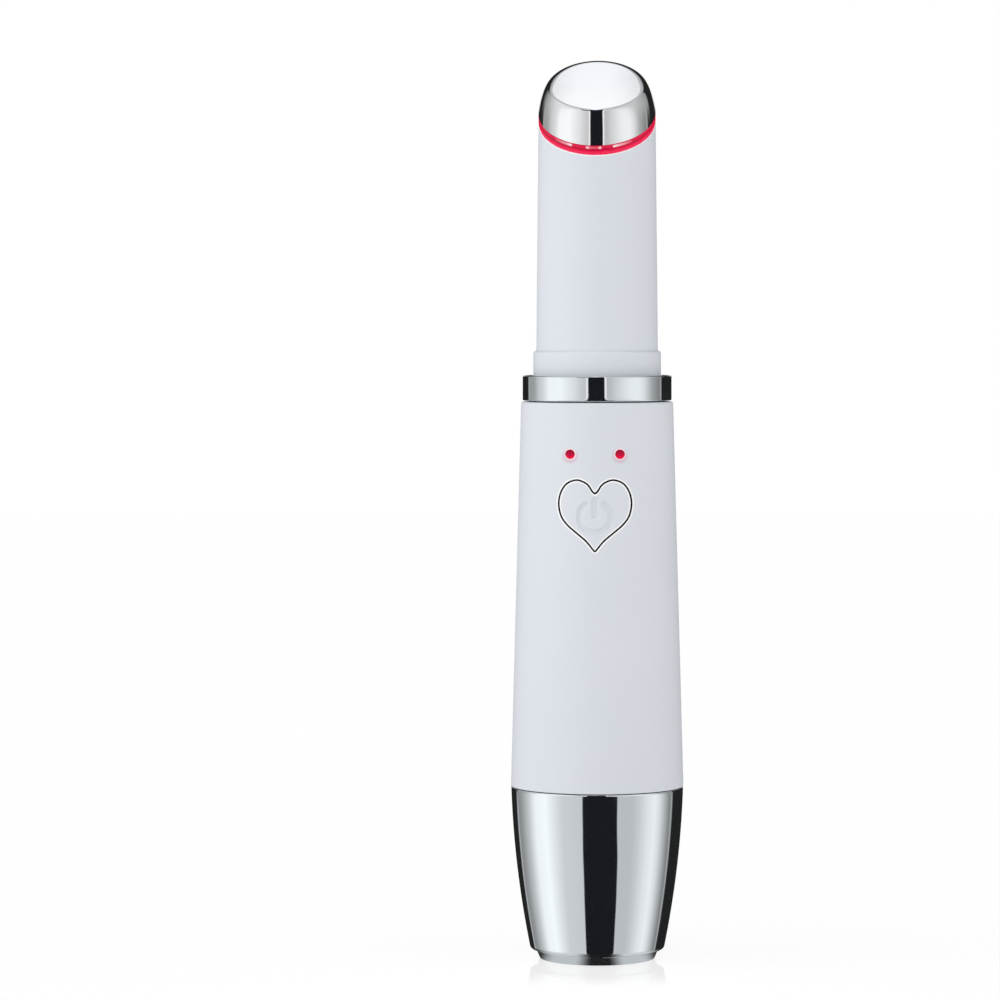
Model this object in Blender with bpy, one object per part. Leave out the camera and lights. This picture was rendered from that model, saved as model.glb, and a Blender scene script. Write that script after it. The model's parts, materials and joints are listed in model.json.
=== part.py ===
"""Heated eye massager wand: a chrome base, a white handle with a heart button, and a heated chrome head.

Metres, +Z up, the front toward -Y, the origin under the middle of the foot.
"""
import bpy
import bmesh
from math import ceil, cos, pi, radians, sin, sqrt, tan
from mathutils import Vector

for old in list(bpy.data.objects):
    bpy.data.objects.remove(old, do_unlink=True)

# Clearances
GAP = 0.0003
OVERRUN = 0.001

# Heights of the outer pieces, from the foot upwards
FOOT_HEIGHT = 0.00145
BASE_LENGTH = 0.02485
HANDLE_LENGTH = 0.05865
RING_HEIGHT = 0.00365
COLLAR_HEIGHT = 0.00373
NECK_LENGTH = 0.0348
LIGHT_RING_HEIGHT = 0.00137

# Foot plug in the bottom of the base
FOOT_RADIUS = 0.0093
FOOT_SOLE_RADIUS = 0.0087
FOOT_SOLE_EDGE = 0.00025
FOOT_PLUG_DEPTH = 0.0039
FOOT_PLUG_WALL = 0.0012
FOOT_FLOOR = 0.0020
FOOT_POST_WIDTH = 0.0012
FOOT_POST_DEPTH = 0.0020
FOOT_POST_HEIGHT = 0.0060

# Chrome base shell
BASE_TOP_RADIUS = 0.01306
BASE_BOTTOM_RADIUS = 0.01014
BASE_WALL = 0.0012
BASE_CORNER = 0.0007
BASE_STRAIGHT_SHARE = 0.26
BASE_RING_SHARES = (0.0, 0.16, 0.34, 0.52, 0.70, 0.86)

# White handle casing
HANDLE_BOTTOM_RADIUS = 0.0131
HANDLE_TOP_RADIUS = 0.0115
HANDLE_WALL = 0.0016
HANDLE_EDGE = 0.0003
HANDLE_RIM_DEPTH = 0.0030
SPIGOT_LENGTH = 0.0060
SPIGOT_WALL = 0.0013

# Chrome trim ring and white neck tube with its collar
RING_RADIUS = 0.01127
RING_EDGE = 0.0003
RING_SEAT_DEPTH = 0.0006
COLLAR_RADIUS = 0.00966
COLLAR_EDGE = 0.0005
NECK_BOTTOM_RADIUS = 0.0092
NECK_TOP_RADIUS = 0.00885
NECK_WALL = 0.0014
NECK_TOP_WALL = 0.00125
NECK_SKIRT_RADIUS = 0.0090
NECK_SEAT_DEPTH = 0.0022
NECK_SEAT_WALL = 0.0007

# Massage head, leaning toward the user, and the lit ring under it
HEAD_LEAN = radians(31)
HEAD_HEIGHT = 0.00462
HEAD_WALL = 0.0008
HEAD_LIP_HEIGHT = 0.0010
HEAD_CROWN = 0.00012
HEAD_EDGE = 0.00045
FACE_SIDE_INSET = 0.00175
FACE_END_INSET = 0.00105
FACE_SHIFT = 0.0001
SHOULDER_SIDE_INSET = 0.00085
SHOULDER_END_INSET = 0.0013
SHOULDER_HEIGHT_SHARE = 1.08
SHOULDER_RING_SHARES = (0.0, 0.22, 0.44, 0.66, 0.84, 1.0)
LIGHT_RING_WALL = 0.00195

# Parts inside the head
HEATER_THICKNESS = 0.0008
CARRIER_WALL = 0.0013
CARRIER_FLANGE_DROP = 0.0018
CARRIER_TUBE_DROP = 0.0034
THERMISTOR_RADIUS = 0.0006
THERMISTOR_LENGTH = 0.0016
THERMISTOR_PLACE_SHARE = 0.55
LIGHT_BOARD_THICKNESS = 0.0008
LIGHT_BOARD_WIDTH = 0.00225
LIGHT_LED_WIDTH = 0.0016
LIGHT_LED_DEPTH = 0.0008
LIGHT_LED_HEIGHT = 0.0005
LIGHT_LED_COUNT = 4

# Heart button below the indicator lenses, its outline in shares of its half width and half height
BUTTON_DROP = 0.00915
BUTTON_HALF_WIDTH = 0.00558
BUTTON_HALF_HEIGHT = 0.00548
BUTTON_FLANGE = 0.0005
BUTTON_FLANGE_THICKNESS = 0.0026
BUTTON_STEM_RADIUS = 0.0012
BUTTON_STEM_LENGTH = 0.0007
HEART_SHARES = (
    (0.0, -1.0), (0.065, -0.95), (0.25, -0.705), (0.50, -0.49), (0.76, -0.265), (0.935, -0.01),
    (1.0, 0.316), (0.945, 0.63), (0.78, 0.893), (0.50, 1.0), (0.27, 0.925), (0.105, 0.72), (0.0, 0.63),
)
SYMBOL_DROP = 0.00042
SYMBOL_RADIUS = 0.0023
SYMBOL_LINE = 0.0008
SYMBOL_DEPTH = 0.00018
SYMBOL_OPENING = radians(70)
SYMBOL_BAR_LENGTH = 0.00335
SYMBOL_BAR_RISE = 0.0004

# Indicator lenses below the handle's upper end
LENS_SPACING = 0.00743
LENS_DROP = 0.00794
LENS_RADIUS = 0.00055
LENS_HOLE_GAP = 0.0002
LENS_FLANGE_RADIUS = 0.0010
LENS_FLANGE_THICKNESS = 0.0007
INDICATOR_LED_WIDTH = 0.0016
INDICATOR_LED_DEPTH = 0.0006
INDICATOR_LED_HEIGHT = 0.0008

# Main circuit board and the parts on it, placed across the board and below the button's centre
BOARD_FRONT = 0.0042
BOARD_THICKNESS = 0.0010
BOARD_HALF_WIDTH = 0.0070
BOARD_LENGTH = 0.0390
SWITCH_SIDE = 0.0045
SWITCH_DEPTH = 0.0014
PLUNGER_RADIUS = 0.0009
PLUNGER_LENGTH = 0.0014
CHIP_SIZE = (0.0050, 0.0011, 0.0040)
CHIP_PLACE = (0.0, 0.0129)
INDUCTOR_SIZE = (0.0040, 0.0020, 0.0040)
INDUCTOR_PLACE = (0.0038, 0.0194)
CAPACITOR_SIZE = (0.0016, 0.0016, 0.0032)
CAPACITOR_PLACE = (-0.0052, 0.0134)
SCREW_HEAD_RADIUS = 0.0014
SCREW_HEAD_HEIGHT = 0.0006
SCREW_RADIUS = 0.0007
SCREW_LOWER_OFFSET = 0.0050
SCREW_LOWER_RISE = 0.0035
SCREW_UPPER_OFFSET = 0.0052
SCREW_UPPER_DROP = 0.0089

# Inner frame that carries the board and the cell
FRAME_PLATE_HALF_WIDTH = 0.0072
FRAME_PLATE_THICKNESS = 0.0012
FRAME_RAIL_THICKNESS = 0.0014
FRAME_RAIL_DEPTH = 0.0056
FRAME_FLANGE_THICKNESS = 0.0014
FRAME_FOOT_THICKNESS = 0.0022
FRAME_TOP_THICKNESS = 0.0012
FRAME_WINDOW_HALF_WIDTH = 0.0042
FRAME_WINDOW_FRONT = 0.0068
FRAME_LEAD_HALF_WIDTH = 0.0026
FRAME_LEAD_FRONT = 0.0076
FRAME_SLOT_HEIGHT = 0.0036
FRAME_SLOT_HALF_WIDTH = 0.0036

# Rechargeable cell, as long as the frame leaves room for, with its tabs and its foam pad
CELL_RADIUS = 0.0050
CELL_HEAD_ROOM = 0.0140
CELL_NUB_RADIUS = 0.0017
CELL_NUB_HEIGHT = 0.0006
CELL_EDGE = 0.0004
TAB_THICKNESS = 0.0002
TAB_WIDTH = 0.0030
TAB_REACH = 0.0040
PAD_WIDTH = 0.0060
PAD_LENGTH = 0.0200
PAD_RISE = 0.0117
PAD_THICKNESS = 0.0014

# Vibration motor in the neck, hung below the lit ring
MOTOR_DROP = 0.0278
MOTOR_RADIUS = 0.0030
MOTOR_LENGTH = 0.0120
MOTOR_WALL = 0.0004
MOTOR_CAP_THICKNESS = 0.0012
MOTOR_CAP_DROP = 0.0005
ROTOR_RADIUS = 0.0021
SHAFT_RADIUS = 0.0005
SHAFT_REACH = 0.0052
WEIGHT_RADIUS = 0.0027
WEIGHT_HUB_RADIUS = 0.0014
WEIGHT_LENGTH = 0.0036
SLEEVE_LENGTH = 0.0100
SLEEVE_EDGE = 0.0005
SLEEVE_GROOVE_HALF_WIDTH = 0.0042
SLEEVE_GROOVE_ROOM = 0.0009

# Charging socket and its small board, over the foot
SOCKET_HALF_WIDTH = 0.0037
SOCKET_HALF_DEPTH = 0.00125
SOCKET_LENGTH = 0.0055
SOCKET_BOTTOM_HEIGHT = 0.0005
SOCKET_WALL = 0.00035
SOCKET_CHAMFER = 0.0007
TONGUE_HALF_WIDTH = 0.0020
TONGUE_HALF_DEPTH = 0.00025
TONGUE_RECESS = 0.0006
CHARGE_BOARD_HALF_WIDTH = 0.0050
CHARGE_BOARD_THICKNESS = 0.0010
CHARGE_BOARD_LENGTH = 0.0110
CHARGE_CHIP_SIZE = (0.0030, 0.0010, 0.0016)
CHARGE_CHIP_RISE = 0.0070

# Internal leads; the cell's lower lead climbs round it, at shares of its length and at angles in degrees
LEAD_RADIUS = 0.00035
LEAD_STEP = 0.0030
HEATER_LEAD_OFFSET = 0.0010
LIGHT_LEAD_OFFSET = 0.0034
MOTOR_LEAD_OFFSET = 0.0022
CHARGE_LEAD_OFFSET = 0.0015
NECK_LEAD_INSET = 0.0016
LEAD_BOARD_OVERLAP = 0.0016
CELL_LEAD_SHARES = (0.0, 0.06, 0.12, 0.24, 0.50, 1.0)
CELL_LEAD_ANGLES = (100, 112, 128, 142, 145, 145)

# Numbers of sides of the round pieces
OUTER_SIDES = 48
INNER_SIDES = 24
SMALL_SIDES = 12
CURVE_STEPS = 3

# Heights and radii that follow from the sizes above
base_bottom = FOOT_HEIGHT
handle_bottom = base_bottom + BASE_LENGTH
ring_bottom = handle_bottom + HANDLE_LENGTH
ring_top = ring_bottom + RING_HEIGHT
collar_bottom = ring_top - RING_SEAT_DEPTH + GAP
neck_bottom = ring_top + COLLAR_HEIGHT
light_bottom = neck_bottom + NECK_LENGTH
head_bottom = light_bottom + LIGHT_RING_HEIGHT
lean_slope = tan(HEAD_LEAN)
lean_stretch = 1 / cos(HEAD_LEAN)
neck_bore_radius = NECK_SKIRT_RADIUS - NECK_WALL
rim_bore_radius = NECK_SKIRT_RADIUS + GAP
rim_bottom = ring_bottom - HANDLE_RIM_DEPTH
spigot_bottom = handle_bottom - SPIGOT_LENGTH
board_back = BOARD_FRONT - BOARD_THICKNESS
plate_front = board_back - GAP
plate_back = plate_front - FRAME_PLATE_THICKNESS
cell_centre = CELL_RADIUS + GAP - plate_back
bore_top = rim_bottom - HANDLE_WALL / 2
frame_top = bore_top - GAP - FRAME_TOP_THICKNESS
foot_top = spigot_bottom - GAP + FRAME_FOOT_THICKNESS
cell_length = frame_top - foot_top - CELL_HEAD_ROOM
skirt_bottom = frame_top + FRAME_TOP_THICKNESS + GAP
board_top = frame_top - GAP
board_bottom = board_top - BOARD_LENGTH
lens_height = ring_bottom - LENS_DROP
button_height = lens_height - BUTTON_DROP
motor_bottom = light_bottom - MOTOR_DROP
neck_bore_top = NECK_TOP_RADIUS - NECK_TOP_WALL
neck_bore_end = light_bottom - NECK_SEAT_DEPTH
light_ring_bore = NECK_TOP_RADIUS - LIGHT_RING_WALL
light_board_radius = NECK_TOP_RADIUS - NECK_SEAT_WALL - GAP
light_board_hole = light_board_radius - LIGHT_BOARD_WIDTH
carrier_radius = light_board_hole - GAP
carrier_bore = carrier_radius - CARRIER_WALL
face_half_width = NECK_TOP_RADIUS - FACE_SIDE_INSET
face_half_length = NECK_TOP_RADIUS - FACE_END_INSET


def handle_radius(height):
    """Outer radius of the handle casing, a straight taper from its lower to its upper end."""
    rise = (height - handle_bottom) / HANDLE_LENGTH
    return HANDLE_BOTTOM_RADIUS + (HANDLE_TOP_RADIUS - HANDLE_BOTTOM_RADIUS) * rise


def base_radius(height):
    """Outer radius of the chrome base: part straight taper, part curve that tightens downwards."""
    drop = (handle_bottom - height) / BASE_LENGTH
    share = BASE_STRAIGHT_SHARE * drop + (1 - BASE_STRAIGHT_SHARE) * drop ** 2
    return BASE_TOP_RADIUS + (BASE_BOTTOM_RADIUS - BASE_TOP_RADIUS) * share


def neck_bore(height):
    """Bore radius of the neck tube, a straight taper from its skirt up to the light board's seat."""
    rise = (height - skirt_bottom) / (neck_bore_end - skirt_bottom)
    return neck_bore_radius + (neck_bore_top - neck_bore_radius) * rise


def neck_lead_back(height):
    """How far back the leads in the neck run, beside the bore's wall, at a height."""
    return neck_bore(height) - NECK_LEAD_INSET


def finish(colour, roughness, metallic=0.0):
    """What a material needs: its linear colour, roughness and metallic value."""
    return {"Base Color": (*colour, 1.0), "Roughness": roughness, "Metallic": metallic}


WHITE_PLASTIC = finish((0.72, 0.75, 0.79), 0.42)
CHROME = finish((0.78, 0.78, 0.79), 0.06, 1.0)
SATIN_CHROME = finish((0.32, 0.32, 0.33), 0.3, 1.0)
RED_LIGHT_PLASTIC = finish((0.75, 0.01, 0.05), 0.2)
STEEL = finish((0.55, 0.56, 0.57), 0.3, 1.0)
BRASS = finish((0.60, 0.42, 0.18), 0.35, 1.0)
FRAME_PLASTIC = finish((0.55, 0.57, 0.58), 0.5)
BLACK_PLASTIC = finish((0.02, 0.02, 0.02), 0.45)
GREEN_BOARD = finish((0.02, 0.16, 0.06), 0.4)
GREY_RUBBER = finish((0.12, 0.12, 0.13), 0.8)
CERAMIC_WHITE = finish((0.80, 0.78, 0.72), 0.5)
BLUE_WRAP = finish((0.03, 0.12, 0.45), 0.35)
FOAM = finish((0.10, 0.10, 0.11), 0.95)
RED_LEAD = finish((0.55, 0.02, 0.02), 0.5)
BLACK_LEAD = finish((0.02, 0.02, 0.02), 0.5)


def dress(piece, look):
    """Gives a piece a material of its own from a look made by finish."""
    material = bpy.data.materials.new(piece.name)
    material.use_nodes = True
    shader = material.node_tree.nodes["Principled BSDF"]
    for socket, value in look.items():
        shader.inputs[socket].default_value = value
    piece.data.materials.append(material)


def add_mesh(name, points, faces, look=None, place=(0, 0, 0), turn=(0, 0, 0)):
    """Makes an object from points and faces. Without a look it is a hidden shape for cutting or joining."""
    mesh = bpy.data.meshes.new(name)
    mesh.from_pydata([tuple(point) for point in points], [], faces)
    shape = bmesh.new()
    shape.from_mesh(mesh)
    bmesh.ops.recalc_face_normals(shape, faces=shape.faces)
    shape.to_mesh(mesh)
    shape.free()
    mesh.shade_smooth()
    mesh.set_sharp_from_angle(angle=radians(32))
    piece = bpy.data.objects.new(name, mesh)
    piece.location = place
    piece.rotation_euler = turn
    bpy.context.scene.collection.objects.link(piece)
    if look:
        dress(piece, look)
    else:
        piece.hide_render = True
        piece.display_type = "WIRE"
    return piece


def skin(name, rings, look=None, closed=False, place=(0, 0, 0), turn=(0, 0, 0)):
    """Joins rings of points with faces: a ring of one point is a pole; closed joins last to first."""
    points = []
    starts = []
    for ring in rings:
        starts.append(len(points))
        points.extend(ring)
    faces = []
    count = len(rings)
    for index in range(count if closed else count - 1):
        after = (index + 1) % count
        lower, upper = rings[index], rings[after]
        sides = max(len(lower), len(upper))
        for side in range(sides):
            follow = (side + 1) % sides
            if len(lower) == 1:
                faces.append((starts[index], starts[after] + side, starts[after] + follow))
            elif len(upper) == 1:
                faces.append((starts[index] + side, starts[index] + follow, starts[after]))
            else:
                faces.append((starts[index] + side, starts[index] + follow,
                              starts[after] + follow, starts[after] + side))
    if not closed:
        for index in (0, count - 1):
            if len(rings[index]) > 1:
                faces.append(tuple(starts[index] + side for side in range(len(rings[index]))))
    return add_mesh(name, points, faces, look, place, turn)


def ellipse(half_width, half_length, height, shift=0.0, sides=OUTER_SIDES):
    """A ring of points in an upright ellipse, moved back by shift."""
    angles = [2 * pi * side / sides for side in range(sides)]
    return [(half_width * cos(angle), shift + half_length * sin(angle), height) for angle in angles]


def turned(name, profile, look=None, closed=True, sides=INNER_SIDES, place=(0, 0, 0), turn=(0, 0, 0)):
    """Turns a profile of (radius, height) or (radius, height, lean) about Z.

    A leaning ring rises toward the back, and a radius of zero is a pole.
    """
    rings = []
    for radius, height, *lean in profile:
        if radius == 0:
            rings.append([(0, 0, height)])
            continue
        ring = ellipse(radius, radius, height, sides=sides)
        slope = lean[0] if lean else 0
        rings.append([(x, y, z + slope * y) for x, y, z in ring])
    return skin(name, rings, look, closed, place, turn)


def solid(name, profile, look=None, sides=INNER_SIDES, place=(0, 0, 0), turn=(0, 0, 0)):
    """A turned piece without a bore: its profile is closed with a pole at each end."""
    full = [(0, *profile[0][1:]), *profile, (0, *profile[-1][1:])]
    return turned(name, full, look, False, sides, place, turn)


def box(name, low, high, look=None, place=(0, 0, 0), turn=(0, 0, 0)):
    """A block between two corners."""
    xs, ys, zs = ((low[axis], high[axis]) for axis in range(3))
    points = [(x, y, z) for z in zs for y in ys for x in xs]
    faces = [(0, 1, 3, 2), (4, 6, 7, 5), (0, 4, 5, 1), (2, 3, 7, 6), (0, 2, 6, 4), (1, 5, 7, 3)]
    return add_mesh(name, points, faces, look, place, turn)


def block(name, size, front, centre, look):
    """A part soldered on the front of the main board: size is width, depth and height."""
    width, depth, height = size
    return box(name, (-width / 2, 0, -height / 2), (width / 2, depth, height / 2), look,
               place=(centre[0], -front - depth, centre[1]))


def upright_prism(name, outline, low, high, look=None, place=(0, 0, 0)):
    """An outline of (x, y) points raised from one height to another."""
    return skin(name, [[(x, y, z) for x, y in outline] for z in (low, high)], look, place=place)


def forward_prism(name, outline, front, back, look=None, place=(0, 0, 0)):
    """An outline of (x, z) points carried from a front plane to a back plane, both along Y."""
    return skin(name, [[(x, y, z) for x, z in outline] for y in (front, back)], look, place=place)


def combine(piece, other, how):
    """Cuts, joins or meets a piece with another shape."""
    step = piece.modifiers.new(other.name, "BOOLEAN")
    step.operation = how
    step.object = other
    step.solver = "EXACT"


def cut(piece, *others):
    """Cuts other shapes out of a piece."""
    for other in others:
        combine(piece, other, "DIFFERENCE")


def join(piece, *others):
    """Joins other shapes to a piece."""
    for other in others:
        combine(piece, other, "UNION")


def meet(piece, *others):
    """Keeps only what a piece has in common with other shapes."""
    for other in others:
        combine(piece, other, "INTERSECT")


def corner(radius, height, size, start, steps=CURVE_STEPS):
    """Points of a quarter round about (radius, height), from the angle start and 90 degrees on."""
    angles = [start + pi / 2 * step / steps for step in range(steps + 1)]
    return [(radius + size * cos(angle), height + size * sin(angle)) for angle in angles]


def smooth_points(knots, per_span, closed=False):
    """Points on a Catmull-Rom curve through knots, per_span of them from each knot to the next."""
    count = len(knots)
    knots = [Vector(knot) for knot in knots]
    points = []
    for index in range(count if closed else count - 1):
        if closed:
            a, b, c, d = (knots[(index + step) % count] for step in (-1, 0, 1, 2))
        else:
            b, c = knots[index], knots[index + 1]
            a = knots[index - 1] if index else b + (b - c)
            d = knots[index + 2] if index + 2 < count else c + (c - b)
        for step in range(per_span):
            t = step / per_span
            points.append((2 * b + (c - a) * t + (2 * a - 5 * b + 4 * c - d) * t ** 2
                           + (3 * b - a - 3 * c + d) * t ** 3) / 2)
    if not closed:
        points.append(knots[-1])
    return points


def heart(offset=0.0):
    """The heart outline as (x, z) points about the button's centre, moved outwards by offset.

    Where the offset closes the tip or the notch, the points that would cross the middle are left out.
    """
    right = [(x * BUTTON_HALF_WIDTH, z * BUTTON_HALF_HEIGHT) for x, z in HEART_SHARES]
    left = [(-x, z) for x, z in reversed(right[1:-1])]
    outline = smooth_points(right + left, 2, closed=True)
    count = len(outline)
    half = [outline[0] + Vector((0, -offset))]
    for index in range(1, count // 2):
        along = outline[index + 1] - outline[index - 1]
        place = outline[index] + Vector((along[1], -along[0])).normalized() * offset
        if place[0] > GAP / 2:
            half.append(place)
    notch = outline[count // 2] + Vector((0, offset))
    return [*half, notch, *(Vector((-x, z)) for x, z in reversed(half[1:]))]


def lead(name, knots, look):
    """A thin insulated wire along a smooth curve through knots."""
    count = len(knots) - 1
    length = sum((Vector(b) - Vector(a)).length for a, b in zip(knots, knots[1:]))
    points = smooth_points(knots, max(2, ceil(length / LEAD_STEP / count)))
    curve = bpy.data.curves.new(name, "CURVE")
    curve.dimensions = "3D"
    curve.bevel_depth = LEAD_RADIUS
    curve.bevel_resolution = 1
    curve.use_fill_caps = True
    spline = curve.splines.new("POLY")
    spline.points.add(len(points) - 1)
    for place, point in zip(spline.points, points):
        place.co = (*point, 1.0)
    piece = bpy.data.objects.new(name, curve)
    bpy.context.scene.collection.objects.link(piece)
    dress(piece, look)
    return piece


def make_foot():
    """The foot plug closes the base: a satin ring outside, a spigot inside, posts for the charge board."""
    top = base_bottom - GAP
    plug_radius = BASE_BOTTOM_RADIUS - BASE_WALL - GAP
    profile = [
        (FOOT_SOLE_RADIUS - FOOT_SOLE_EDGE, 0), (FOOT_SOLE_RADIUS, FOOT_SOLE_EDGE),
        (FOOT_RADIUS, top), (plug_radius, top), (plug_radius, top + FOOT_PLUG_DEPTH),
        (plug_radius - FOOT_PLUG_WALL, top + FOOT_PLUG_DEPTH),
        (plug_radius - FOOT_PLUG_WALL, FOOT_FLOOR),
    ]
    foot = solid("foot_plug", profile, SATIN_CHROME, OUTER_SIDES)
    inner = CHARGE_BOARD_HALF_WIDTH + GAP
    back = SOCKET_HALF_DEPTH + GAP + CHARGE_BOARD_THICKNESS / 2
    for name, side in (("foot_post_left", -1), ("foot_post_right", 1)):
        low, high = sorted((side * inner, side * (inner + FOOT_POST_WIDTH)))
        post = box(name, (low, back - FOOT_POST_DEPTH / 2, FOOT_FLOOR / 2),
                   (high, back + FOOT_POST_DEPTH / 2, FOOT_FLOOR + FOOT_POST_HEIGHT))
        join(foot, post)
    slot = upright_prism("foot_slot", socket_outline(GAP), -OVERRUN, FOOT_FLOOR + OVERRUN)
    cut(foot, slot)


def socket_outline(offset):
    """The charging socket's section: a flat box with its two front corners cut away."""
    width, depth = SOCKET_HALF_WIDTH + offset, SOCKET_HALF_DEPTH + offset
    slope = SOCKET_CHAMFER + offset
    return [(-width + slope, -depth), (width - slope, -depth), (width, -depth + slope), (width, depth),
            (-width, depth), (-width, -depth + slope)]


def make_charge_parts():
    """The charging socket with its tongue, and the small board that it is soldered to."""
    top = SOCKET_BOTTOM_HEIGHT + SOCKET_LENGTH
    shell = upright_prism("charge_socket_shell", socket_outline(0.0), SOCKET_BOTTOM_HEIGHT, top, STEEL)
    bore = upright_prism("charge_socket_bore", socket_outline(-SOCKET_WALL),
                         SOCKET_BOTTOM_HEIGHT - OVERRUN, top - SOCKET_WALL)
    cut(shell, bore)
    box("charge_socket_tongue",
        (-TONGUE_HALF_WIDTH, -TONGUE_HALF_DEPTH, SOCKET_BOTTOM_HEIGHT + TONGUE_RECESS),
        (TONGUE_HALF_WIDTH, TONGUE_HALF_DEPTH, top - SOCKET_WALL - GAP), BLACK_PLASTIC)
    front = SOCKET_HALF_DEPTH + GAP
    bottom = FOOT_FLOOR + GAP
    back = front + CHARGE_BOARD_THICKNESS
    box("charge_board", (-CHARGE_BOARD_HALF_WIDTH, front, bottom),
        (CHARGE_BOARD_HALF_WIDTH, back, bottom + CHARGE_BOARD_LENGTH), GREEN_BOARD)
    width, depth, height = CHARGE_CHIP_SIZE
    box("charge_chip", (-width / 2, back + GAP, bottom + CHARGE_CHIP_RISE),
        (width / 2, back + GAP + depth, bottom + CHARGE_CHIP_RISE + height), BLACK_PLASTIC)
    for name, side, look in (("charge_lead_plus", 1, RED_LEAD), ("charge_lead_minus", -1, BLACK_LEAD)):
        x = side * CHARGE_LEAD_OFFSET
        start = front - GAP - LEAD_RADIUS
        board_face = -BOARD_FRONT - GAP - LEAD_RADIUS
        climb = bottom + CHARGE_BOARD_LENGTH
        lead(name, [(x, start, climb - LEAD_BOARD_OVERLAP), (x, start, climb),
                    (x, (start + board_face) / 2, (climb + spigot_bottom) / 2 - LEAD_BOARD_OVERLAP / 2),
                    (x, board_face, spigot_bottom - FRAME_FLANGE_THICKNESS),
                    (x, board_face, handle_bottom),
                    (x, board_face, board_bottom + LEAD_BOARD_OVERLAP)], look)


def make_base():
    """The chrome base is one plated shell, drawn in toward the foot, with a rounded lower corner."""
    top = handle_bottom - GAP
    reach = BASE_LENGTH - BASE_CORNER
    heights = [handle_bottom - reach * share for share in BASE_RING_SHARES]
    heights[0] = top
    outer = [(base_radius(height), height) for height in heights]
    edge = base_radius(base_bottom + BASE_CORNER) - BASE_CORNER
    lower = list(reversed(corner(edge, base_bottom + BASE_CORNER, BASE_CORNER, -pi / 2)))
    heights.append(base_bottom)
    inner = [(base_radius(height) - BASE_WALL, height) for height in reversed(heights)]
    turned("chrome_base", outer + lower + inner, CHROME, sides=OUTER_SIDES)


def make_handle():
    """The white casing: a tapered tube with a spigot, an inner rim, a heart hole and two lens holes."""
    spigot_radius = base_radius(spigot_bottom) - BASE_WALL - GAP
    spigot_bore = spigot_radius - SPIGOT_WALL
    top = ring_bottom - GAP
    bore_bottom = handle_bottom + HANDLE_WALL
    profile = [
        (spigot_radius, spigot_bottom), (spigot_radius, handle_bottom),
        (HANDLE_BOTTOM_RADIUS - HANDLE_EDGE, handle_bottom),
        (handle_radius(handle_bottom + HANDLE_EDGE), handle_bottom + HANDLE_EDGE),
        (handle_radius(top - HANDLE_EDGE), top - HANDLE_EDGE),
        (handle_radius(top) - HANDLE_EDGE, top),
        (rim_bore_radius, top), (rim_bore_radius, rim_bottom),
        (handle_radius(bore_top) - HANDLE_WALL, bore_top),
        (handle_radius(bore_bottom) - HANDLE_WALL, bore_bottom),
        (spigot_bore, handle_bottom), (spigot_bore, spigot_bottom),
    ]
    handle = turned("handle_casing", profile, WHITE_PLASTIC, sides=OUTER_SIDES)
    hole = forward_prism("heart_hole", heart(), -HANDLE_BOTTOM_RADIUS - OVERRUN, -BOARD_FRONT,
                         place=(0, 0, button_height))
    cut(handle, hole)
    for name, side in (("lens_hole_left", -1), ("lens_hole_right", 1)):
        profile = [(LENS_RADIUS + LENS_HOLE_GAP, BOARD_FRONT),
                   (LENS_RADIUS + LENS_HOLE_GAP, HANDLE_BOTTOM_RADIUS + OVERRUN)]
        bore = solid(name, profile, sides=INNER_SIDES, turn=(pi / 2, 0, 0),
                     place=(side * LENS_SPACING / 2, 0, lens_height))
        cut(handle, bore)


def handle_cone(name, inset):
    """The handle's outer surface, moved inwards, as a solid that gives the button its curved front."""
    low = button_height - BUTTON_HALF_HEIGHT * 2
    high = button_height + BUTTON_HALF_HEIGHT * 2
    return solid(name, [(handle_radius(low) - inset, low), (handle_radius(high) - inset, high)],
                 sides=OUTER_SIDES)


def symbol_outlines():
    """The generic power symbol: an open ring and a bar, as (x, z) outlines about the button's centre."""
    span = 2 * pi - SYMBOL_OPENING
    steps = OUTER_SIDES // 2
    angles = [pi / 2 + SYMBOL_OPENING / 2 + span * step / steps for step in range(steps + 1)]
    ring = [((SYMBOL_RADIUS + side * SYMBOL_LINE / 2) * cos(angle),
             (SYMBOL_RADIUS + side * SYMBOL_LINE / 2) * sin(angle) - SYMBOL_DROP)
            for side, order in ((1, angles), (-1, list(reversed(angles)))) for angle in order]
    top = SYMBOL_RADIUS + SYMBOL_LINE / 2 - SYMBOL_DROP + SYMBOL_BAR_RISE
    half = SYMBOL_LINE / 2
    bar = [(-half, top - SYMBOL_BAR_LENGTH), (half, top - SYMBOL_BAR_LENGTH), (half, top), (-half, top)]
    return ring, bar


def make_button():
    """The heart button: a curved front flush with the handle, a flange behind it and a stem."""
    centre = Vector((0, -handle_radius(button_height), button_height))
    bore_radius = -centre.y - HANDLE_WALL - GAP
    back = bore_radius - BUTTON_FLANGE_THICKNESS
    button = forward_prism("heart_button", heart(-GAP), -OVERRUN, -centre.y - back - GAP, WHITE_PLASTIC,
                           place=centre)
    meet(button, handle_cone("button_front", 0.0))
    flange = forward_prism("button_flange", heart(BUTTON_FLANGE), centre.y - OVERRUN, -back,
                           place=(0, 0, button_height))
    meet(flange, handle_cone("button_flange_front", HANDLE_WALL + GAP))
    stem = solid("button_stem", [(BUTTON_STEM_RADIUS, back - BUTTON_STEM_LENGTH),
                                 (BUTTON_STEM_RADIUS, back + BUTTON_FLANGE_THICKNESS / 2)],
                 sides=INNER_SIDES, turn=(pi / 2, 0, 0), place=(0, 0, button_height))
    join(button, flange, stem)
    for name, outline in zip(("symbol_ring", "symbol_bar"), symbol_outlines()):
        groove = forward_prism(name, outline, centre.y - OVERRUN, -back,
                               place=(0, 0, button_height))
        cut(groove, handle_cone(name + "_floor", SYMBOL_DEPTH))
        cut(button, groove)
    return back - BUTTON_STEM_LENGTH


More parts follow.
